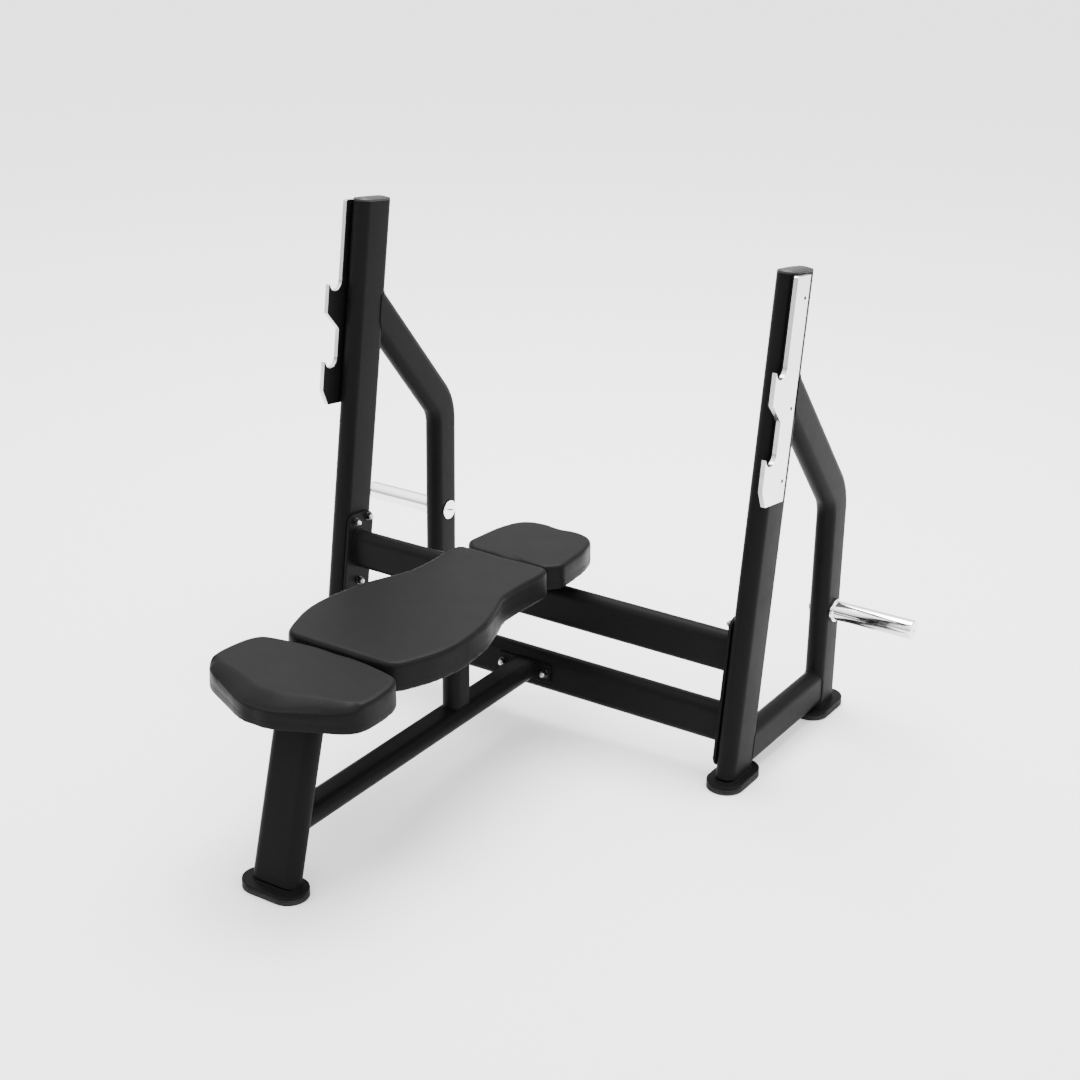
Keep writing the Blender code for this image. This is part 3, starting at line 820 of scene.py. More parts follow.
    def on_upright(self, profile: np.ndarray, origin: np.ndarray, along: np.ndarray) -> np.ndarray:
        """Where a tube's surface meets the upright's rounded rear."""
        radius = self.tube_across / 2
        center = self.axis.at(0.0, self.upright_depth / 2 - radius)
        return meet_round(profile, origin, along, center, self.axis.behind, radius)

    def side_beam(self) -> None:
        """The low beam between upright and rear post, with a weld at each end."""
        height = self.beam_z
        start = np.array((self.x, self.axis.foot[1] + height * math.tan(self.lean), height))
        end = np.array((self.x, self.rear_y, height))
        profile = flat_oval(self.beam_height, self.beam_across)
        beam = swept(np.linspace(start, end, 3), X_AXIS, profile)
        self.coat("side_beam_tube", beam, (self.node("side_beam"),))
        wide = profile * 1.002
        self.coat("side_beam_front_weld", bead(self.on_upright(wide, start, Y_AXIS), self.weld))
        radius = self.tube_across / 2
        center = np.array((self.x, self.rear_y - self.rear_depth / 2 + radius, height))
        rear = meet_round(wide, start, Y_AXIS, center, -Y_AXIS, radius)
        self.coat("side_beam_rear_weld", bead(rear, self.weld))

    def floor_welds(self) -> None:
        """Welds where the upright and the rear post stand on their foot plates."""
        plane = np.array((0, 0, 1, self.floor_plate))
        section = flat_oval(self.upright_depth, self.tube_across)
        front = meet_plane(section, self.axis.at(0.1), self.axis.along, X_AXIS, plane)
        self.coat("upright_foot_weld", bead(front, self.weld))
        section = flat_oval(self.rear_depth, self.tube_across)
        post = np.array((self.x, self.rear_y, 0.1))
        rear = meet_plane(section, post, Z_AXIS, X_AXIS, plane)
        self.coat("rear_foot_weld", bead(rear, self.weld))

    def build(self) -> None:
        """Builds the side frame."""
        self.upright()
        self.cap()
        self.brace()
        self.side_beam()
        self.floor_welds()
        for place in ("front", "rear"):
            Foot(self.node(f"{place}_foot"), self.finishes).build()


@dataclass
class Foot:
    """A foot: a steel plate on a rubber pad, both the same long oval."""

    prefix: str
    finishes: Finishes

    def build(self) -> None:
        """Builds the plate with eased edges, and the pad with a groove under its upper lip."""
        plate, rubber = f"{self.prefix}_plate", f"{self.prefix}_rubber"
        low, high = corners(plate)
        size = high - low
        center = (low + high) / 2
        shift = Matrix.Translation((center[0], center[1], 0))
        steel = oval_slab(size[0], size[1], round_rim(low[2] - 0.0003, high[2], 0.0016))
        name = f"{plate}_steel"
        Piece(name, steel.moved(shift), self.finishes.coat, Slot.FRAME, (plate,)).show()
        top = float(high_of(rubber)[2])
        levels = np.array(
            (
                (0.0000, 0.0016),
                (0.0004, 0.0006),
                (0.0012, 0.0000),
                (top * 0.62, 0.0000),
                (top * 0.68, 0.0006),
                (top * 0.70, 0.0016),
                (top * 0.78, 0.0016),
                (top * 0.80, 0.0006),
                (top * 0.84, 0.0001),
                (top - 0.0008, 0.0000),
                (top, 0.0006),
            )
        )
        pad = oval_slab(size[0], size[1], levels).moved(shift)
        Piece(f"{rubber}_pad", pad, self.finishes.rubber, Slot.RUBBER, (rubber,)).show()


@dataclass
class BarCatch:
    """The chrome bar catch with two hooked notches, its black backing and its screws."""

    frame_side: SideFrame
    finishes: Finishes
    back: float = 0.002
    flush: float = 0.066
    hook_front: float = 0.117
    notch_radius: float = 0.026
    seats: Pair = (1.004, 0.804)
    hook_drop: float = 0.056
    hook_slant: float = 0.044
    top: float = 1.2335
    bottom: float = 0.7085
    toe: float = 0.093
    screws: tuple[float, ...] = (1.182, 0.929, 0.759)
    screw_line: float = 0.019

    def outline(self) -> np.ndarray:
        """The side view, as (ahead of the axis, along it): straight rear, two hooks in front.

        Each notch is an arc of one circle about the point a radius ahead of the flush edge and a
        radius above the seat, from its rear, through its lowest point, up to the hook's face.
        """
        parts = [
            np.array(
                (
                    (self.back, self.bottom),
                    (self.back, self.top),
                    (self.flush - 0.003, self.top),
                    (self.flush, self.top - 0.003),
                )
            )
        ]
        end = -math.acos((self.hook_front - self.flush - self.notch_radius) / self.notch_radius)
        angle = np.linspace(-math.pi, end, 33)
        circle = np.column_stack((np.cos(angle), np.sin(angle))) * self.notch_radius
        for seat in self.seats:
            center = np.array((self.flush + self.notch_radius, seat + self.notch_radius))
            parts.append(center + circle)
            parts.append(np.array(((self.hook_front, seat - self.hook_drop),)))
            if seat != self.seats[-1]:
                parts.append(np.array(((self.flush, seat - self.hook_drop - self.hook_slant),)))
        parts.append(np.array(((self.toe, self.bottom),)))
        return np.vstack(parts)

    def matrix(self, x: float) -> Matrix:
        """Carries (ahead, along, through) into place, at that distance across the bench."""
        axis = self.frame_side.axis
        columns = (-axis.behind, axis.along, -X_AXIS)
        turn = Matrix(np.array(columns).T.tolist()).to_4x4()
        return Matrix.Translation((x, axis.foot[1], 0)) @ turn

    def plate(
        self,
        node: str,
        suffix: str,
        material: bpy.types.Material,
        slot: Slot,
        rim: bpy.types.Material | None = None,
    ) -> None:
        """One plate of the outline, as thick as its node."""
        low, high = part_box(node)
        shell = extruded(self.outline(), high.x - low.x).moved(self.matrix((low.x + high.x) / 2))
        Piece(f"{node}_{suffix}", shell, material, slot, (node,), 0.0011, 35.0, rim).show()

    def build(self) -> None:
        """Builds both plates and the screws' button heads."""
        label = self.frame_side.side.label
        self.plate(f"{label}_catch_backing", "steel", self.finishes.coat, Slot.FRAME)
        # The catch plate's edges take the darker chrome, painted shade for their dimmer
        # reflection.
        chrome, edge = self.finishes.chrome, self.finishes.chrome_edge
        self.plate(f"{label}_catch_plate", "chromed", chrome, Slot.CHROME, edge)
        outside = high_of if self.frame_side.side is Side.RIGHT else low_of
        face = float(outside(f"{label}_catch_plate")[0])
        for number, along in enumerate(self.screws, 1):
            place = self.frame_side.axis.at(along, -self.screw_line)
            turn = Matrix.Rotation(self.frame_side.side.value * math.pi / 2, 4, "Y")
            shift = Matrix.Translation((face, place[1], place[2]))
            shell = button_head(0.0044, 0.0020, 0.0022).moved(shift @ turn)
            name = f"{label}_catch_screw_{number}"
            Piece(name, shell, self.finishes.dark_steel, Slot.BOLT, sharp=30.0).show()


def button_head(radius: float, height: float, socket: float) -> Shell:
    """A low domed screw head with a six-sided socket.

    The dome's height falls with the square of the distance from the middle. Rings inside the
    socket have the radius of a hexagon at their angle: its half width over the cosine of the angle
    from the middle of the nearest flat.
    """
    count = 48
    angle = np.arange(count) * 2 * math.pi / count
    hexagon = socket / np.cos((angle % (math.pi / 3)) - math.pi / 6)
    share = np.linspace(1, 0, 7)[:, None]
    outer = hexagon[None] + (radius - hexagon[None]) * share
    dome = height * (1 - 0.75 * (outer / radius) ** 2)
    base = np.full((1, count), radius)
    spread = np.vstack((base, outer, hexagon[None] * 0.98))
    heights = np.vstack((np.full((1, count), -0.0005), dome, np.full((1, count), 0.0002)))
    rings = np.stack((spread * np.cos(angle), spread * np.sin(angle), heights), axis=-1)
    return Shell.from_rings(rings)


def hex_nut(flats: float, height: float, low: float) -> Shell:
    """A hex nut with chamfered corners.

    The radius at an angle is half the width over the cosine of the angle from the nearest flat's
    middle. Near each end a 30 degree cone cuts it down, so that the faces end in round arcs.

    Args:
        flats: width across the flats.
        height: thickness.
        low: height of the underside.
    """
    count = 96
    angle = np.arange(count) * 2 * math.pi / count
    hexagon = flats / 2 / np.cos((angle % (math.pi / 3)) - math.pi / 6)
    level = np.concatenate((np.linspace(0, 0.2, 6), np.linspace(0.8, 1, 6))) * height
    room = np.minimum(level, height - level)[:, None]
    radius = np.minimum(hexagon[None], flats / 2 * 0.96 + room / math.tan(math.radians(30)))
    rings = np.stack(
        (
            radius * np.cos(angle),
            radius * np.sin(angle),
            np.broadcast_to((low + level)[:, None], radius.shape),
        ),
        axis=-1,
    )
    return Shell.from_rings(rings)


def threaded_end(radius: float, low: float, high: float, pitch: float) -> Shell:
    """A threaded stud end: the radius swings with the height over the pitch plus the angle."""
    count, steps = 32, 48
    angle = np.arange(count) * 2 * math.pi / count
    level = np.linspace(low, high, steps)[:, None]
    swing = 0.06 * np.sin(2 * math.pi * level / pitch - angle[None])
    taper = np.clip((high - level) / 0.0012, 0.0, 1.0)
    size = radius * (0.92 + swing) * (0.82 + 0.18 * taper)
    rings = np.stack(
        (size * np.cos(angle), size * np.sin(angle), np.broadcast_to(level, size.shape)), axis=-1
    )
    return Shell.from_rings(rings)


@dataclass
class Fastener:
    """A bolt's outside end: washer, hex nut and threaded stud."""

    node: str
    outward: np.ndarray
    finishes: Finishes
    flats: float = 0.0175
    nut: float = 0.008

    def build(self) -> None:
        """Builds it on the face that the node's washer lies on."""
        low, high = corners(self.node)
        center = (low + high) / 2
        tip = center + self.outward * (np.abs(self.outward) @ (high - low)) / 2
        washer_radius = float((high - low)[2]) / 2
        length = 0.017
        rim = round_rim(0.0, 0.002, 0.0006, 3)
        washer = turned(np.column_stack((washer_radius - rim[:, 1], rim[:, 0])), 48)
        nut = washer.plus(hex_nut(self.flats, self.nut, 0.0019))
        stud = threaded_end(0.0056, 0.009, length - 0.001, 0.0016)
        turn = Vector((0, 0, 1)).rotation_difference(Vector(self.outward)).to_matrix().to_4x4()
        base = Matrix.Translation(Vector(tip - self.outward * length)) @ turn
        dark, bright = self.finishes.dark_steel, self.finishes.zinc
        name = f"{self.node}_nut"
        Piece(name, nut.moved(base), dark, Slot.BOLT, (self.node,), sharp=30.0).show()
        Piece(f"{self.node}_stud", stud.moved(base), bright, Slot.BOLT, sharp=30.0).show()


@dataclass
class WeightPeg:
    """A chrome storage peg with its collar and end cap, and the slotted disc inside the post."""

    side: Side
    finishes: Finishes
    cap_round: float = 0.0035
    center_hole: float = 0.0035
    slot_tilt: float = math.radians(19.4)

    def outward(self, x: float, y: float, z: float, sign: int) -> Matrix:
        """Carries Z to the direction along X with that sign, from the point."""
        return Matrix.Translation((x, y, z)) @ Matrix.Rotation(sign * math.pi / 2, 4, "Y")

    def chrome(self, suffix: str, shell: Shell, nodes: tuple[str, ...]) -> None:
        """Shows a chromed piece."""
        name = f"{self.side.label}_{suffix}"
        Piece(name, shell, self.finishes.chrome, Slot.CHROME, nodes, sharp=30.0).show()

    def build(self) -> None:
        """Builds the peg outwards from the post's inner face."""
        label, sign = self.side.label, self.side.value
        peg, cap = f"{label}_weight_peg", f"{label}_peg_end_cap"
        collar, disc = f"{label}_peg_collar", f"{label}_peg_disc"
        axis = middle(peg)
        near = low_of if sign > 0 else high_of
        far = high_of if sign > 0 else low_of
        radius = float(high_of(peg)[2] - low_of(peg)[2]) / 2
        start, tip = float(near(peg)[0]), float(far(cap)[0])
        seam = abs(float(far(peg)[0]) - start)
        length = abs(tip - start)
        bar = np.array(((radius, 0.0), (radius, seam - 0.0008), (radius - 0.0008, seam)))
        place = self.outward(start, axis[1], axis[2], sign)
        self.chrome("peg_bar", turned(bar, 96).moved(place), (peg,))
        angle = np.linspace(0, math.pi / 2, 8)
        rim = np.column_stack(
            (
                radius - self.cap_round * (1 - np.cos(angle)),
                length - self.cap_round * (1 - np.sin(angle)),
            )
        )
        hole = self.center_hole
        middle_hole = np.array(
            ((hole + 0.0008, length), (hole, length - 0.0008), (hole, length - 0.005))
        )
        edge = np.array(((radius - 0.0008, seam), (radius, seam + 0.0008)))
        end = turned(np.vstack((edge, rim, middle_hole)), 96)
        self.chrome("peg_end", end.moved(place), (cap,))
        width = abs(float(far(collar)[0]) - float(near(collar)[0]))
        outer = float(high_of(collar)[2] - low_of(collar)[2]) / 2
        rim = round_rim(-0.0002, width, 0.0022, 6)
        ring = turned(np.column_stack((outer - rim[:, 1], rim[:, 0])), 96)
        place = self.outward(float(near(collar)[0]), axis[1], axis[2], sign)
        self.chrome("peg_ring", ring.moved(place), (collar,))
        self.disc(disc, axis, sign)

    def disc(self, node: str, axis: np.ndarray, sign: int) -> None:
        """The disc on the post's inner face, its slot cut with a narrow bar whose blackened steel
        finish passes to the slot's walls as painted shade.
        """
        low, high = corners(node)
        thick, radius = high[0] - low[0], (high[2] - low[2]) / 2
        rim = round_rim(0.0, thick, 0.0010, 4)
        face = high[0] if sign > 0 else low[0]
        place = self.outward(face, axis[1], axis[2], -sign)
        shell = turned(np.column_stack((radius - rim[:, 1], rim[:, 0])), 96).moved(place)
        name = f"{self.side.label}_disc"
        piece = Piece(name, shell, self.finishes.chrome, Slot.CHROME, (node,), sharp=30.0).show()
        slot = extruded(rounded_box(0.0036, radius * 1.11, 0.0015), 0.0076)
        # On either side the slot falls to the rear.
        tilt = Matrix.Rotation(sign * self.slot_tilt, 4, "Z")
        outer_face = place @ Matrix.Translation((0, 0, thick))
        cutter = bpy.data.objects.new("slot", clean_mesh("slot", slot.moved(outer_face @ tilt)))
        bpy.context.scene.collection.objects.link(cutter)
        # The slot's walls take the blackened steel finish: painted shade for the recess, which is
        # dark only from shadow.
        cutter.data.materials.append(self.finishes.dark_steel)
        cut = piece.modifiers.new("slot", "BOOLEAN")
        cut.object = cutter
        cut.solver = "EXACT"
        cut.material_mode = "TRANSFER"
        bpy.context.view_layer.update()
        graph = bpy.context.evaluated_depsgraph_get()
        mesh = bpy.data.meshes.new_from_object(piece.evaluated_get(graph))
        mesh.set_sharp_from_angle(angle=math.radians(30))
        piece.modifiers.clear()
        piece.data = mesh
        bpy.data.objects.remove(cutter, do_unlink=True)


# ---------------------------------------------------------- middle frame


@dataclass
class CrossMember(Coated):
    """Two beams across the bench, welded between end plates that are bolted to the uprights."""

    lean: Lean
    finishes: Finishes
    plate_width: float = 0.104
    corner: float = 0.028
    bolts: tuple[str, ...] = ("top_front", "top_rear", "middle", "bottom")
    weld: float = 0.0022

    def beam(self, level: str) -> None:
        """One beam with a weld at each end."""
        node = f"{level}_cross_beam"
        low, high = corners(node)
        center = (low + high) / 2
        profile = flat_oval(high[2] - low[2], high[1] - low[1])
        ends = np.array(((low[0] - 0.0003, *center[1:]), (high[0] + 0.0003, *center[1:])))
        # The section's first coordinate has to be upright, so the side direction is -Y.
        self.coat(f"{node}_tube", swept(np.linspace(*ends, 3), -Y_AXIS, profile), (node,))
        for side in Side:
            plane = np.array((1, 0, 0, side.value * high[0]))
            loop = meet_plane(profile, center, X_AXIS, -Y_AXIS, plane)
            self.coat(f"{node}_{side.label}_weld", bead(loop, self.weld))

    def end_plate(self, side: Side) -> None:
        """The long plate against one upright, and its four bolts."""
        node = f"{side.label}_end_plate"
        low, high = corners(node)
        angle = self.lean.angle
        # The box of a leaning rectangle with round corners is as high as its straight sides' box.
        height = (high[2] - low[2] - 2 * self.corner) - (
            self.plate_width - 2 * self.corner
        ) * math.sin(angle)
        height = height / math.cos(angle) + 2 * self.corner
        outline = rounded_box(self.plate_width, height, self.corner, 12)
        center = (low + high) / 2
        turn = Matrix(np.array((self.lean.behind, self.lean.along, X_AXIS)).T.tolist()).to_4x4()
        place = Matrix.Translation(Vector(center)) @ turn
        shell = extruded(outline, high[0] - low[0]).moved(place)
        self.coat(f"{node}_steel", shell, (node,), 0.0016)
        for bolt in self.bolts:
            name = f"{side.label}_bolt_{bolt}"
            Fastener(name, -side.value * X_AXIS, self.finishes).build()

    def build(self) -> None:
        """Builds the beams, the plates and the bolts."""
        for level in ("upper", "lower"):
            self.beam(level)
        for side in Side:
            self.end_plate(side)


@dataclass
class MiddleFrame(Coated):
    """Lower spine with its flange and bolts, mid post, upper spine and leaning front leg."""

    finishes: Finishes
    leg_lean: float = math.radians(15.2)
    leg_thick: float = 0.052
    leg_width: float = 0.122
    top_slope: float = math.radians(0.9)
    weld: float = 0.0022

    def leg(self) -> None:
        """The front leg: a wide flat oval that leans towards the bench's middle."""
        foot = middle("leg_foot_plate")
        floor = float(high_of("leg_foot_plate")[2])
        along = np.array((0.0, math.sin(self.leg_lean), math.cos(self.leg_lean)))
        axis = np.array((0.0, foot[1], 0.0))
        top = float(high_of("front_leg")[2])
        low = axis + along * (floor - 0.001) / along[2]
        high = axis + along * (top + 0.001) / along[2]
        profile = flat_oval(self.leg_thick, self.leg_width)
        tube = swept(np.linspace(low, high, 3), X_AXIS, profile)
        self.coat("front_leg_tube", tube, ("front_leg",))
        plane = np.array((0, 0, 1, floor))
        loop = meet_plane(profile, axis, along, X_AXIS, plane)
        self.coat("front_leg_foot_weld", bead(loop, self.weld))
        # The spine runs into the leg's flat rear face.
        low, high = corners("lower_spine")
        center = (low + high) / 2
        behind = np.array((0.0, along[2], -along[1]))
        section = flat_oval(high[2] - low[2], high[0] - low[0])
        plane = np.array((*behind, behind @ axis + self.leg_thick / 2))
        loop = meet_plane(section, center, Y_AXIS, X_AXIS, plane)
        self.coat("spine_leg_weld", bead(loop, self.weld))

    def spine(self) -> None:
        """The lower spine, from inside the leg to its flange on the lower beam."""
        low, high = corners("lower_spine")
        center = (low + high) / 2
        profile = flat_oval(high[2] - low[2], high[0] - low[0])
        ends = np.array(((0.0, low[1] - 0.02, center[2]), (0.0, high[1] + 0.0003, center[2])))
        tube = swept(np.linspace(*ends, 3), X_AXIS, profile)
        self.coat("lower_spine_tube", tube, ("lower_spine",))
        loop = meet_plane(profile, center, Y_AXIS, X_AXIS, np.array((0, 1, 0, high[1])))
        self.coat("spine_flange_weld", bead(loop, self.weld))
        self.post(profile, center, high[2])

    def post(self, spine: np.ndarray, center: np.ndarray, crest: float) -> None:
        """The mid post, whose foot follows the spine's round shoulders.

        Away from the spine's flat top by a distance d, the surface is lower than its crest by the
        shoulder's radius less the square root of that radius squared less d squared.
        """
        low, high = corners("mid_post")
        middle_point = (low + high) / 2
        profile = flat_oval(high[1] - low[1], high[0] - low[0])
        y = middle_point[1]
        ends = np.array(((0.0, y, center[2]), (0.0, y, high[2] + 0.001)))
        self.coat("mid_post_tube", swept(np.linspace(*ends, 3), X_AXIS, profile), ("mid_post",))
        radius = np.ptp(spine[:, 0]) / 2
        flat = np.ptp(spine[:, 1]) / 2 - radius
        over = np.maximum(np.abs(profile[:, 1]) - flat, 0)
        height = crest - radius + np.sqrt(radius**2 - over**2)
        loop = np.column_stack((profile[:, 1], middle_point[1] - profile[:, 0], height))
        self.coat("mid_post_weld", bead(loop, self.weld))

    def flange(self) -> None:
        """The flange on the lower beam and its two bolts."""
        low, high = corners("spine_flange")
        size = high - low
        outline = rounded_box(size[0], size[2], 0.006)
        turn = Matrix.Rotation(math.pi / 2, 4, "X")
        place = Matrix.Translation(Vector((low + high) / 2)) @ turn
        shell = extruded(outline, size[1]).moved(place)
        self.coat("spine_flange_steel", shell, ("spine_flange",), 0.0012)
        for side in Side:
            Fastener(f"spine_bolt_{side.label}", -Y_AXIS, self.finishes).build()

    def top(self) -> None:
        """The upper spine under the pads, and the cross plates that carry them."""
        low, high = corners("upper_spine")
        slope = np.array((0.0, math.cos(self.top_slope), -math.sin(self.top_slope)))
        center = (low + high) / 2
        reach = (high[1] - low[1]) / 2 / slope[1] - 0.0004
        profile = flat_oval(0.040, high[0] - low[0])
        path = np.linspace(center - slope * reach, center + slope * reach, 3)
        self.coat("upper_spine_tube", swept(path, X_AXIS, profile), ("upper_spine",))
        for name in ("seat", "back_front", "back_rear", "head"):
            node = f"{name}_bracket"
            low, high = corners(node)
            size = high - low
            outline = rounded_box(size[0], 0.050, 0.006)
            turn = Matrix.Rotation(-self.top_slope, 4, "X")
            place = Matrix.Translation(Vector((low + high) / 2)) @ turn
            self.coat(f"{node}_steel", extruded(outline, 0.0045).moved(place), (node,), 0.0010)
            for side in Side:
                spot = (low + high) / 2 + side.value * X_AXIS * (size[0] / 2 - 0.020)
                flip = Matrix.Rotation(math.pi - self.top_slope, 4, "X")
                base = Matrix.Translation(Vector(spot) - Vector((0, 0, 0.00225)))
                head = button_head(0.0075, 0.0042, 0.0032).moved(base @ flip)
                screw = f"{name}_pad_screw_{side.label}"
                Piece(screw, head, self.finishes.zinc, Slot.BOLT, sharp=30.0).show()

    def build(self) -> None:
        """Builds the middle frame and the leg's foot."""
        self.leg()
        self.spine()
        self.flange()
        self.top()
        Foot("leg_foot", self.finishes).build()


# ----------------------------------------------------------------- pads


def smooth_outline(half: np.ndarray, steps: int = 8) -> np.ndarray:
    """A closed smooth outline, mirrored in X, through points from its front edge to its rear.

    Between two points the curve is the Catmull-Rom cubic: its slope at each point is half of the
    step from the point before to the point after.

    Args:
        half: (x, y) points of the right half.
        steps: points on each stretch.

    Returns:
        Array of shape (points, 2), anticlockwise.
    """
    ends = np.array(((0, half[0, 1]),)), np.array(((0, half[-1, 1]),))
    knots = np.vstack((ends[0], half, ends[1]))
    before = np.vstack((knots[:1], knots[:-2]))[:, None]
    start, end = knots[:-1, None], knots[1:, None]
    after = np.vstack((knots[2:], knots[-1:]))[:, None]
    t = (np.arange(steps) / steps)[None, :, None]
    curve = 0.5 * (
        2 * start
        + (end - before) * t
        + (2 * before - 5 * start + 4 * end - after) * t**2
        + (3 * start - before - 3 * end + after) * t**3
    )
    right = np.vstack((curve.reshape(-1, 2), ends[1]))
    left = right[1:-1][::-1] * np.array((-1, 1))
    return np.vstack((right, left))


def offset(outline: np.ndarray, distance: np.ndarray | float) -> np.ndarray:
    """The outline moved inwards, square to the chord between each point's neighbours."""
    chord = np.roll(outline, -1, axis=0) - np.roll(outline, 1, axis=0)
    chord /= np.linalg.norm(chord, axis=1, keepdims=True)
    inward = np.column_stack((-chord[:, 1], chord[:, 0]))
    return outline + inward * np.reshape(distance, (-1, 1))


@dataclass
class Pad:
    """One upholstered pad: foam under a tight cover that wraps the edge of its board."""

    name: str
    half: np.ndarray
    thick: float
    finishes: Finishes
    slope: float = math.radians(0.9)
    edge: float = 0.010
    slack: float = 0.0004
    swell: float = 0.0015
    voxel: float = 0.004
    fill: float = 0.95
    front_fall: float = 0.0
    front_reach: float = 0.0

    def __post_init__(self) -> None:
        """Finds the pad's frame: its underside's height where Y is 0, from the model's board."""
        low, high = corners(f"{self.name}_board")
        # A sloped board's lowest corner is at its rear end.
        self.base = low[2] + high[1] * math.tan(self.slope)
        cushion = middle(f"{self.name}_cushion")
        center = (self.half[:, 1].min() + self.half[:, 1].max()) / 2
        self.outline = smooth_outline(self.half + np.array((0.0, cushion[1] - center)))

    def slab(self) -> Shell:
        """The tight form that the cover is stretched on, just smaller than the finished pad."""
        angle = np.linspace(0, math.pi / 2, 7)
        round_in = self.edge * (1 - np.cos(angle))
        round_up = self.edge * np.sin(angle)
        low = -0.0015
        high = self.thick - self.slack
        levels = [(low, 0.0016), (low + 0.0006, 0.0004), (low + 0.0020, 0.0)]
        levels += [(level, 0.0) for level in np.linspace(low + 0.010, high - self.edge, 6)]
        levels += list(zip(high - self.edge + round_up[1:], round_in[1:]))
        count = len(self.outline)
        rings = [
            np.column_stack((offset(self.outline, inset + self.slack), np.full(count, z)))
            for z, inset in levels
        ]
        return Shell.from_rings(np.array(rings))

    def stretch(self, obj: bpy.types.Object) -> None:
        """Blows the cover up a little with a short cloth run, and holds its underside flat.

        Each point moves towards its simulated place by at most the swell, and by less towards the
        underside, where the cover is stapled to the board.
        """
        start = np.empty(len(obj.data.vertices) * 3, np.float32)
        obj.data.vertices.foreach_get("co", start)
        start = start.reshape(-1, 3)
        cloth = obj.modifiers.new("cover", "CLOTH")
        cloth.settings.quality = 5
        cloth.settings.mass = 0.4
        cloth.settings.use_pressure = True
        cloth.settings.uniform_pressure_force = 4.0
        cloth.settings.tension_stiffness = 40
        cloth.settings.compression_stiffness = 40
        cloth.settings.bending_stiffness = 6
        cloth.settings.effector_weights.gravity = 0
        cloth.point_cache.frame_start = 1
        cloth.point_cache.frame_end = 20
        for number in range(1, 21):
            bpy.context.scene.frame_set(number)
        graph = bpy.context.evaluated_depsgraph_get()
        swollen = obj.evaluated_get(graph).to_mesh()
        end = np.empty(len(swollen.vertices) * 3, np.float32)
        swollen.vertices.foreach_get("co", end)
        obj.evaluated_get(graph).to_mesh_clear()
        obj.modifiers.remove(cloth)
        bpy.context.scene.frame_set(1)
        move = self.evened(obj.data, end.reshape(-1, 3) - start)
        move[:, :2] *= 0.35
        length = np.linalg.norm(move, axis=1, keepdims=True)
        free = np.clip((start[:, 2:] - 0.012) / 0.030, 0, 1)
        limit = self.swell * free * free * (3 - 2 * free)
        share = np.minimum(1.0, limit / np.maximum(length, 1e-9))
        obj.data.vertices.foreach_set("co", (start + move * share).ravel())

    def evened(self, mesh: bpy.types.Mesh, move: np.ndarray, rounds: int = 40) -> np.ndarray:
        """Takes out fine ripples: each round moves each point towards its neighbours' mean."""
        edges = np.empty(len(mesh.edges) * 2, np.int32)
        mesh.edges.foreach_get("vertices", edges)
        first, second = edges.reshape(-1, 2).T
        count = np.bincount(edges, minlength=len(move))[:, None]
        for _ in range(rounds):
            total = np.zeros_like(move)
            np.add.at(total, first, move[second])
            np.add.at(total, second, move[first])
            move = 0.5 * move + 0.5 * total / count
        return move

    def shape_front(self, obj: bpy.types.Object) -> None:
        """Lets the front of the top fall away in a broad bevel, deepest in the middle.

        A point's distance from the front edge, over the reach, gives the share of the fall that it
        takes: 1 at the edge and 0 at the reach, along a smooth curve. The side below stays.
        """
        points = np.empty(len(obj.data.vertices) * 3, np.float32)
        obj.data.vertices.foreach_get("co", points)
        points = points.reshape(-1, 3).astype(float)
        front = self.outline[self.outline[:, 1] < self.outline[:, 1].min() + 0.090]
        gap = np.linalg.norm(points[:, None, :2] - front[None], axis=2).min(axis=1)
        centred = np.clip(1 - (points[:, 0] / 0.19) ** 2, 0, 1)
        reach = self.front_reach * (0.45 + 0.55 * centred)
        share = np.clip(1 - gap / reach, 0, 1) ** 1.25
        height = np.clip(points[:, 2] / self.thick, 0, 1)
        points[:, 2] -= self.front_fall * (0.6 + 0.4 * centred) * share * height**3
        obj.data.vertices.foreach_set("co", points.astype(np.float32).ravel())

    def seam(self) -> Shell:
        """A fine ridge round the side, where the cover turns over the board's upper edge."""
        loop = offset(self.outline, 0.0006)
        ring = np.column_stack((loop, np.full(len(loop), 0.0152)))
        return bead(ring, 0.0005, 0.004)

    def build(self) -> bpy.types.Object:
        """Builds the cushion, and the seam round it."""
        mesh = clean_mesh(f"{self.name}_pad", self.slab())
        obj = bpy.data.objects.new(f"{self.name}_pad", mesh)
        bpy.context.scene.collection.objects.link(obj)
        remesh = obj.modifiers.new("even", "REMESH")
        remesh.mode = "VOXEL"
        remesh.voxel_size = self.voxel
        bpy.context.view_layer.update()
        graph = bpy.context.evaluated_depsgraph_get()
        even = bpy.data.meshes.new_from_object(obj.evaluated_get(graph))
        obj.modifiers.clear()
        obj.data = even
        self.stretch(obj)
        if self.front_fall:
            self.shape_front(obj)
        smooth = obj.modifiers.new("settle", "SMOOTH")
        smooth.factor = 0.5
        smooth.iterations = 1
        fine = obj.modifiers.new("fine", "SUBSURF")
        fine.levels = fine.render_levels = 1
        bpy.context.view_layer.update()
        graph = bpy.context.evaluated_depsgraph_get()
        done = bpy.data.meshes.new_from_object(obj.evaluated_get(graph))
        obj.modifiers.clear()
        turn = Matrix.Translation((0, 0, self.base)) @ Matrix.Rotation(-self.slope, 4, "X")
        done.transform(turn)
        done.shade_smooth()
        done.materials.clear()
        done.materials.append(self.finishes.vinyl)
        obj.data = done
        dress(obj, (f"{self.name}_cushion", f"{self.name}_board"))
        name = f"{self.name}_pad_seam"
        Piece(name, self.seam().moved(turn), self.finishes.vinyl, Slot.VINYL).show()
        return obj


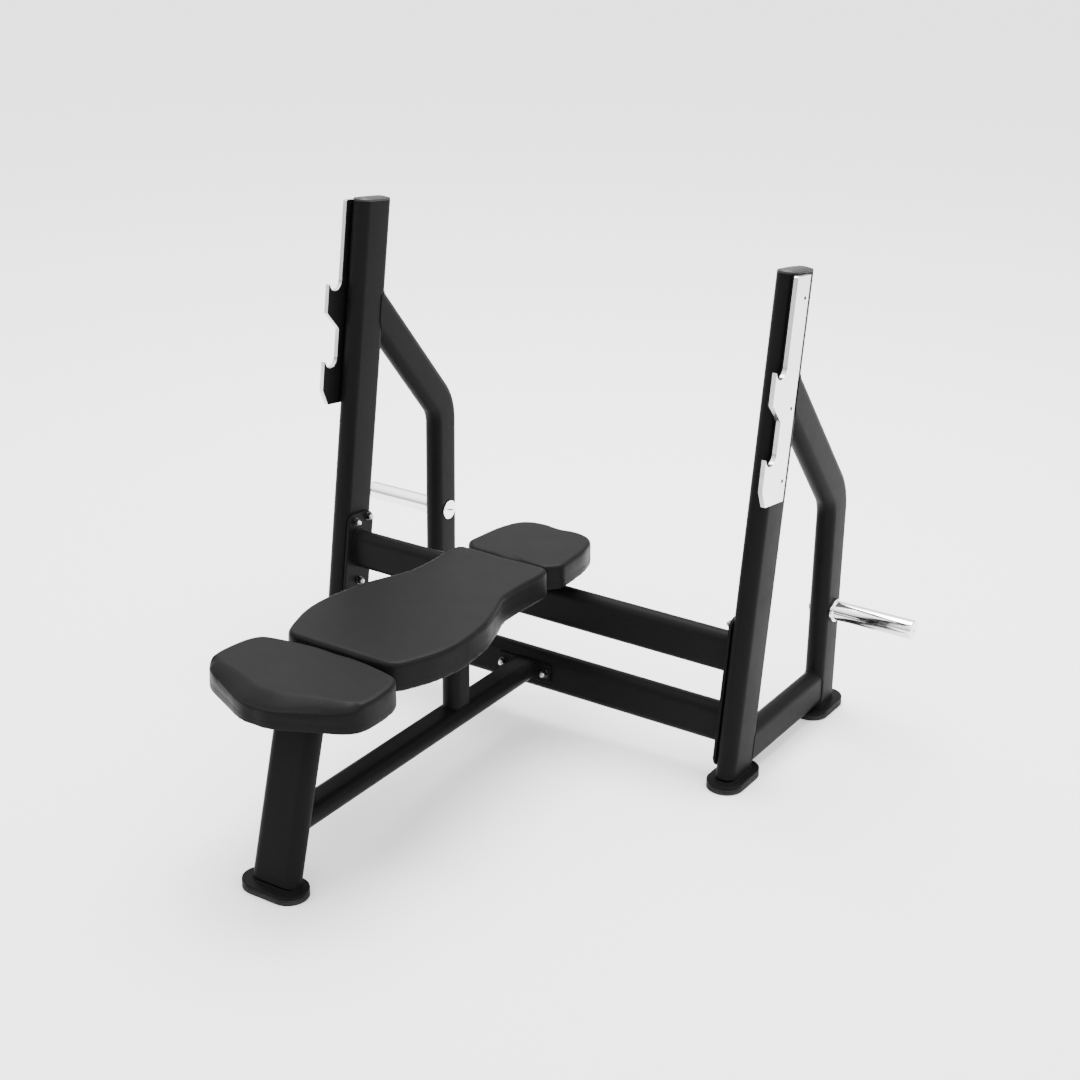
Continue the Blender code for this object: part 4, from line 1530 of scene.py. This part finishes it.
@dataclass
class Upholsterer:
    """Makes the seat, back and head pads from their half outlines."""

    finishes: Finishes
    seat: tuple[Pair, ...] = (
        (0.030, -1.047),
        (0.060, -1.037),
        (0.096, -1.019),
        (0.137, -0.999),
        (0.171, -0.982),
        (0.194, -0.965),
        (0.207, -0.942),
        (0.2115, -0.905),
        (0.209, -0.860),
        (0.203, -0.828),
        (0.191, -0.803),
        (0.172, -0.790),
        (0.110, -0.776),
        (0.050, -0.769),
    )
    back: tuple[Pair, ...] = (
        (0.100, -0.761),
        (0.133, -0.759),
        (0.151, -0.749),
        (0.163, -0.731),
        (0.176, -0.700),
        (0.190, -0.660),
        (0.199, -0.615),
        (0.2015, -0.570),
        (0.198, -0.520),
        (0.187, -0.450),
        (0.172, -0.400),
        (0.158, -0.362),
        (0.143, -0.322),
        (0.137, -0.285),
        (0.136, -0.220),
        (0.138, -0.160),
        (0.136, -0.128),
        (0.127, -0.112),
        (0.105, -0.106),
    )
    head: tuple[Pair, ...] = (
        (0.095, -0.0955),
        (0.112, -0.091),
        (0.128, -0.075),
        (0.1385, -0.058),
        (0.139, -0.035),
        (0.136, 0.010),
        (0.131, 0.055),
        (0.122, 0.090),
        (0.114, 0.112),
        (0.100, 0.130),
        (0.080, 0.142),
        (0.050, 0.148),
    )

    def build(self) -> None:
        """Builds the three pads."""
        sizes = (
            ("seat", self.seat, 0.063, {"front_fall": 0.024, "front_reach": 0.050}),
            ("back", self.back, 0.066, {"voxel": 0.005}),
            ("head", self.head, 0.060, {}),
        )
        for name, half, thick, extra in sizes:
            Pad(name, np.array(half), thick, self.finishes, **extra).build()


# --------------------------------------------------------------- studio


@dataclass
class Studio:
    """A pale floor, soft light and the camera."""

    lens: float = 68.39
    shift: Pair = (0.0430, 0.0072)
    azimuth: float = math.radians(34.019)
    elevation: float = math.radians(23.021)
    roll: float = math.radians(0.2485)
    eye: Triple = (2.5407, -3.6671, 2.4477)
    dome: Triple = (0.7, 3.4, 0.45)

    def camera(self) -> None:
        """A camera at the eye, turned by azimuth, elevation and roll.

        Its right is level, its back points from the scene to the eye, and the roll turns its right
        and its up about its back.
        """
        a, e, r = self.azimuth, self.elevation, self.roll
        back = Vector((math.sin(a) * math.cos(e), -math.cos(a) * math.cos(e), math.sin(e)))
        right = Vector((math.cos(a), math.sin(a), 0))
        up = back.cross(right)
        across = right * math.cos(r) + up * math.sin(r)
        above = up * math.cos(r) - right * math.sin(r)
        data = bpy.data.cameras.new("camera")
        data.lens = self.lens
        data.sensor_width = 36.0
        data.shift_x, data.shift_y = self.shift
        camera = bpy.data.objects.new("camera", data)
        turn = Matrix((across, above, back)).transposed().to_4x4()
        camera.matrix_world = Matrix.Translation(self.eye) @ turn
        bpy.context.scene.collection.objects.link(camera)
        bpy.context.scene.camera = camera

    def light(
        self, name: str, place: Triple, size: float, power: float
    ) -> None:
        """A square soft light at the place, aimed at the bench."""
        data = bpy.data.lights.new(name, "AREA")
        data.size = size
        data.energy = power
        lamp = bpy.data.objects.new(name, data)
        lamp.location = place
        aim = Vector((0, 0, 0.5)) - Vector(place)
        lamp.rotation_euler = aim.to_track_quat("-Z", "Y").to_euler()
        bpy.context.scene.collection.objects.link(lamp)

    def floor(self) -> None:
        """A wide pale floor."""
        mesh = bpy.data.meshes.new("floor")
        reach = 150.0
        corners = [(-reach, -reach, 0), (reach, -reach, 0), (reach, reach, 0), (-reach, reach, 0)]
        mesh.from_pydata(corners, [], [(0, 1, 2, 3)])
        floor = bpy.data.objects.new("floor", mesh)
        material = bpy.data.materials.new("pale_floor")
        material.use_nodes = True
        shader = material.node_tree.nodes["Principled BSDF"]
        shader.inputs["Base Color"].default_value = (0.86, 0.86, 0.86, 1)
        shader.inputs["Roughness"].default_value = 0.9
        shader.inputs["Specular IOR Level"].default_value = 0.1
        mesh.materials.append(material)
        bpy.context.scene.collection.objects.link(floor)

    def sky(self) -> None:
        """A soft white dome: brightest overhead and to the right, dimmest level with the seat end.

        Its strength is the floor value, plus the direction's upward share times the crown, plus
        its share to the right times the wing.
        """
        world = bpy.context.scene.world or bpy.data.worlds.new("world")
        bpy.context.scene.world = world
        world.use_nodes = True
        tree = world.node_tree
        background = tree.nodes["Background"]
        background.inputs["Color"].default_value = (1, 1, 1, 1)
        place = tree.nodes.new("ShaderNodeTexCoord")
        split = tree.nodes.new("ShaderNodeSeparateXYZ")
        tree.links.new(place.outputs["Generated"], split.inputs["Vector"])
        total = None
        base, rise, side = self.dome
        shares = (("Z", 0.0, 1.0, base, base + rise), ("X", 0.0, 1.0, 0.0, side))
        for axis, low, high, least, most in shares:
            share = tree.nodes.new("ShaderNodeMapRange")
            share.interpolation_type = "SMOOTHSTEP"
            for name, number in zip(RANGE_INPUTS, (low, high, least, most)):
                share.inputs[name].default_value = number
            tree.links.new(split.outputs[axis], share.inputs["Value"])
            if total is None:
                total = share.outputs["Result"]
                continue
            add = tree.nodes.new("ShaderNodeMath")
            tree.links.new(total, add.inputs[0])
            tree.links.new(share.outputs["Result"], add.inputs[1])
            total = add.outputs["Value"]
        tree.links.new(total, background.inputs["Strength"])

    def build(self) -> None:
        """Sets the stage."""
        self.camera()
        self.floor()
        self.sky()
        self.light("key", (4.2, 0.6, 3.0), 2.4, 25.0)
        self.light("top", (-0.4, 1.4, 4.8), 3.2, 520.0)


def main() -> None:
    """Builds the bench piece by piece."""
    logging.basicConfig(level=logging.INFO, format="%(message)s")
    Studio().build()
    finishes = Finishes.make()
    lean = None
    for side in Side:
        side_frame = SideFrame(side, finishes)
        side_frame.build()
        BarCatch(side_frame, finishes).build()
        WeightPeg(side, finishes).build()
        lean = side_frame.axis
    CrossMember(lean, finishes).build()
    MiddleFrame(finishes).build()
    Upholsterer(finishes).build()


if __name__ == "__main__":
    main()
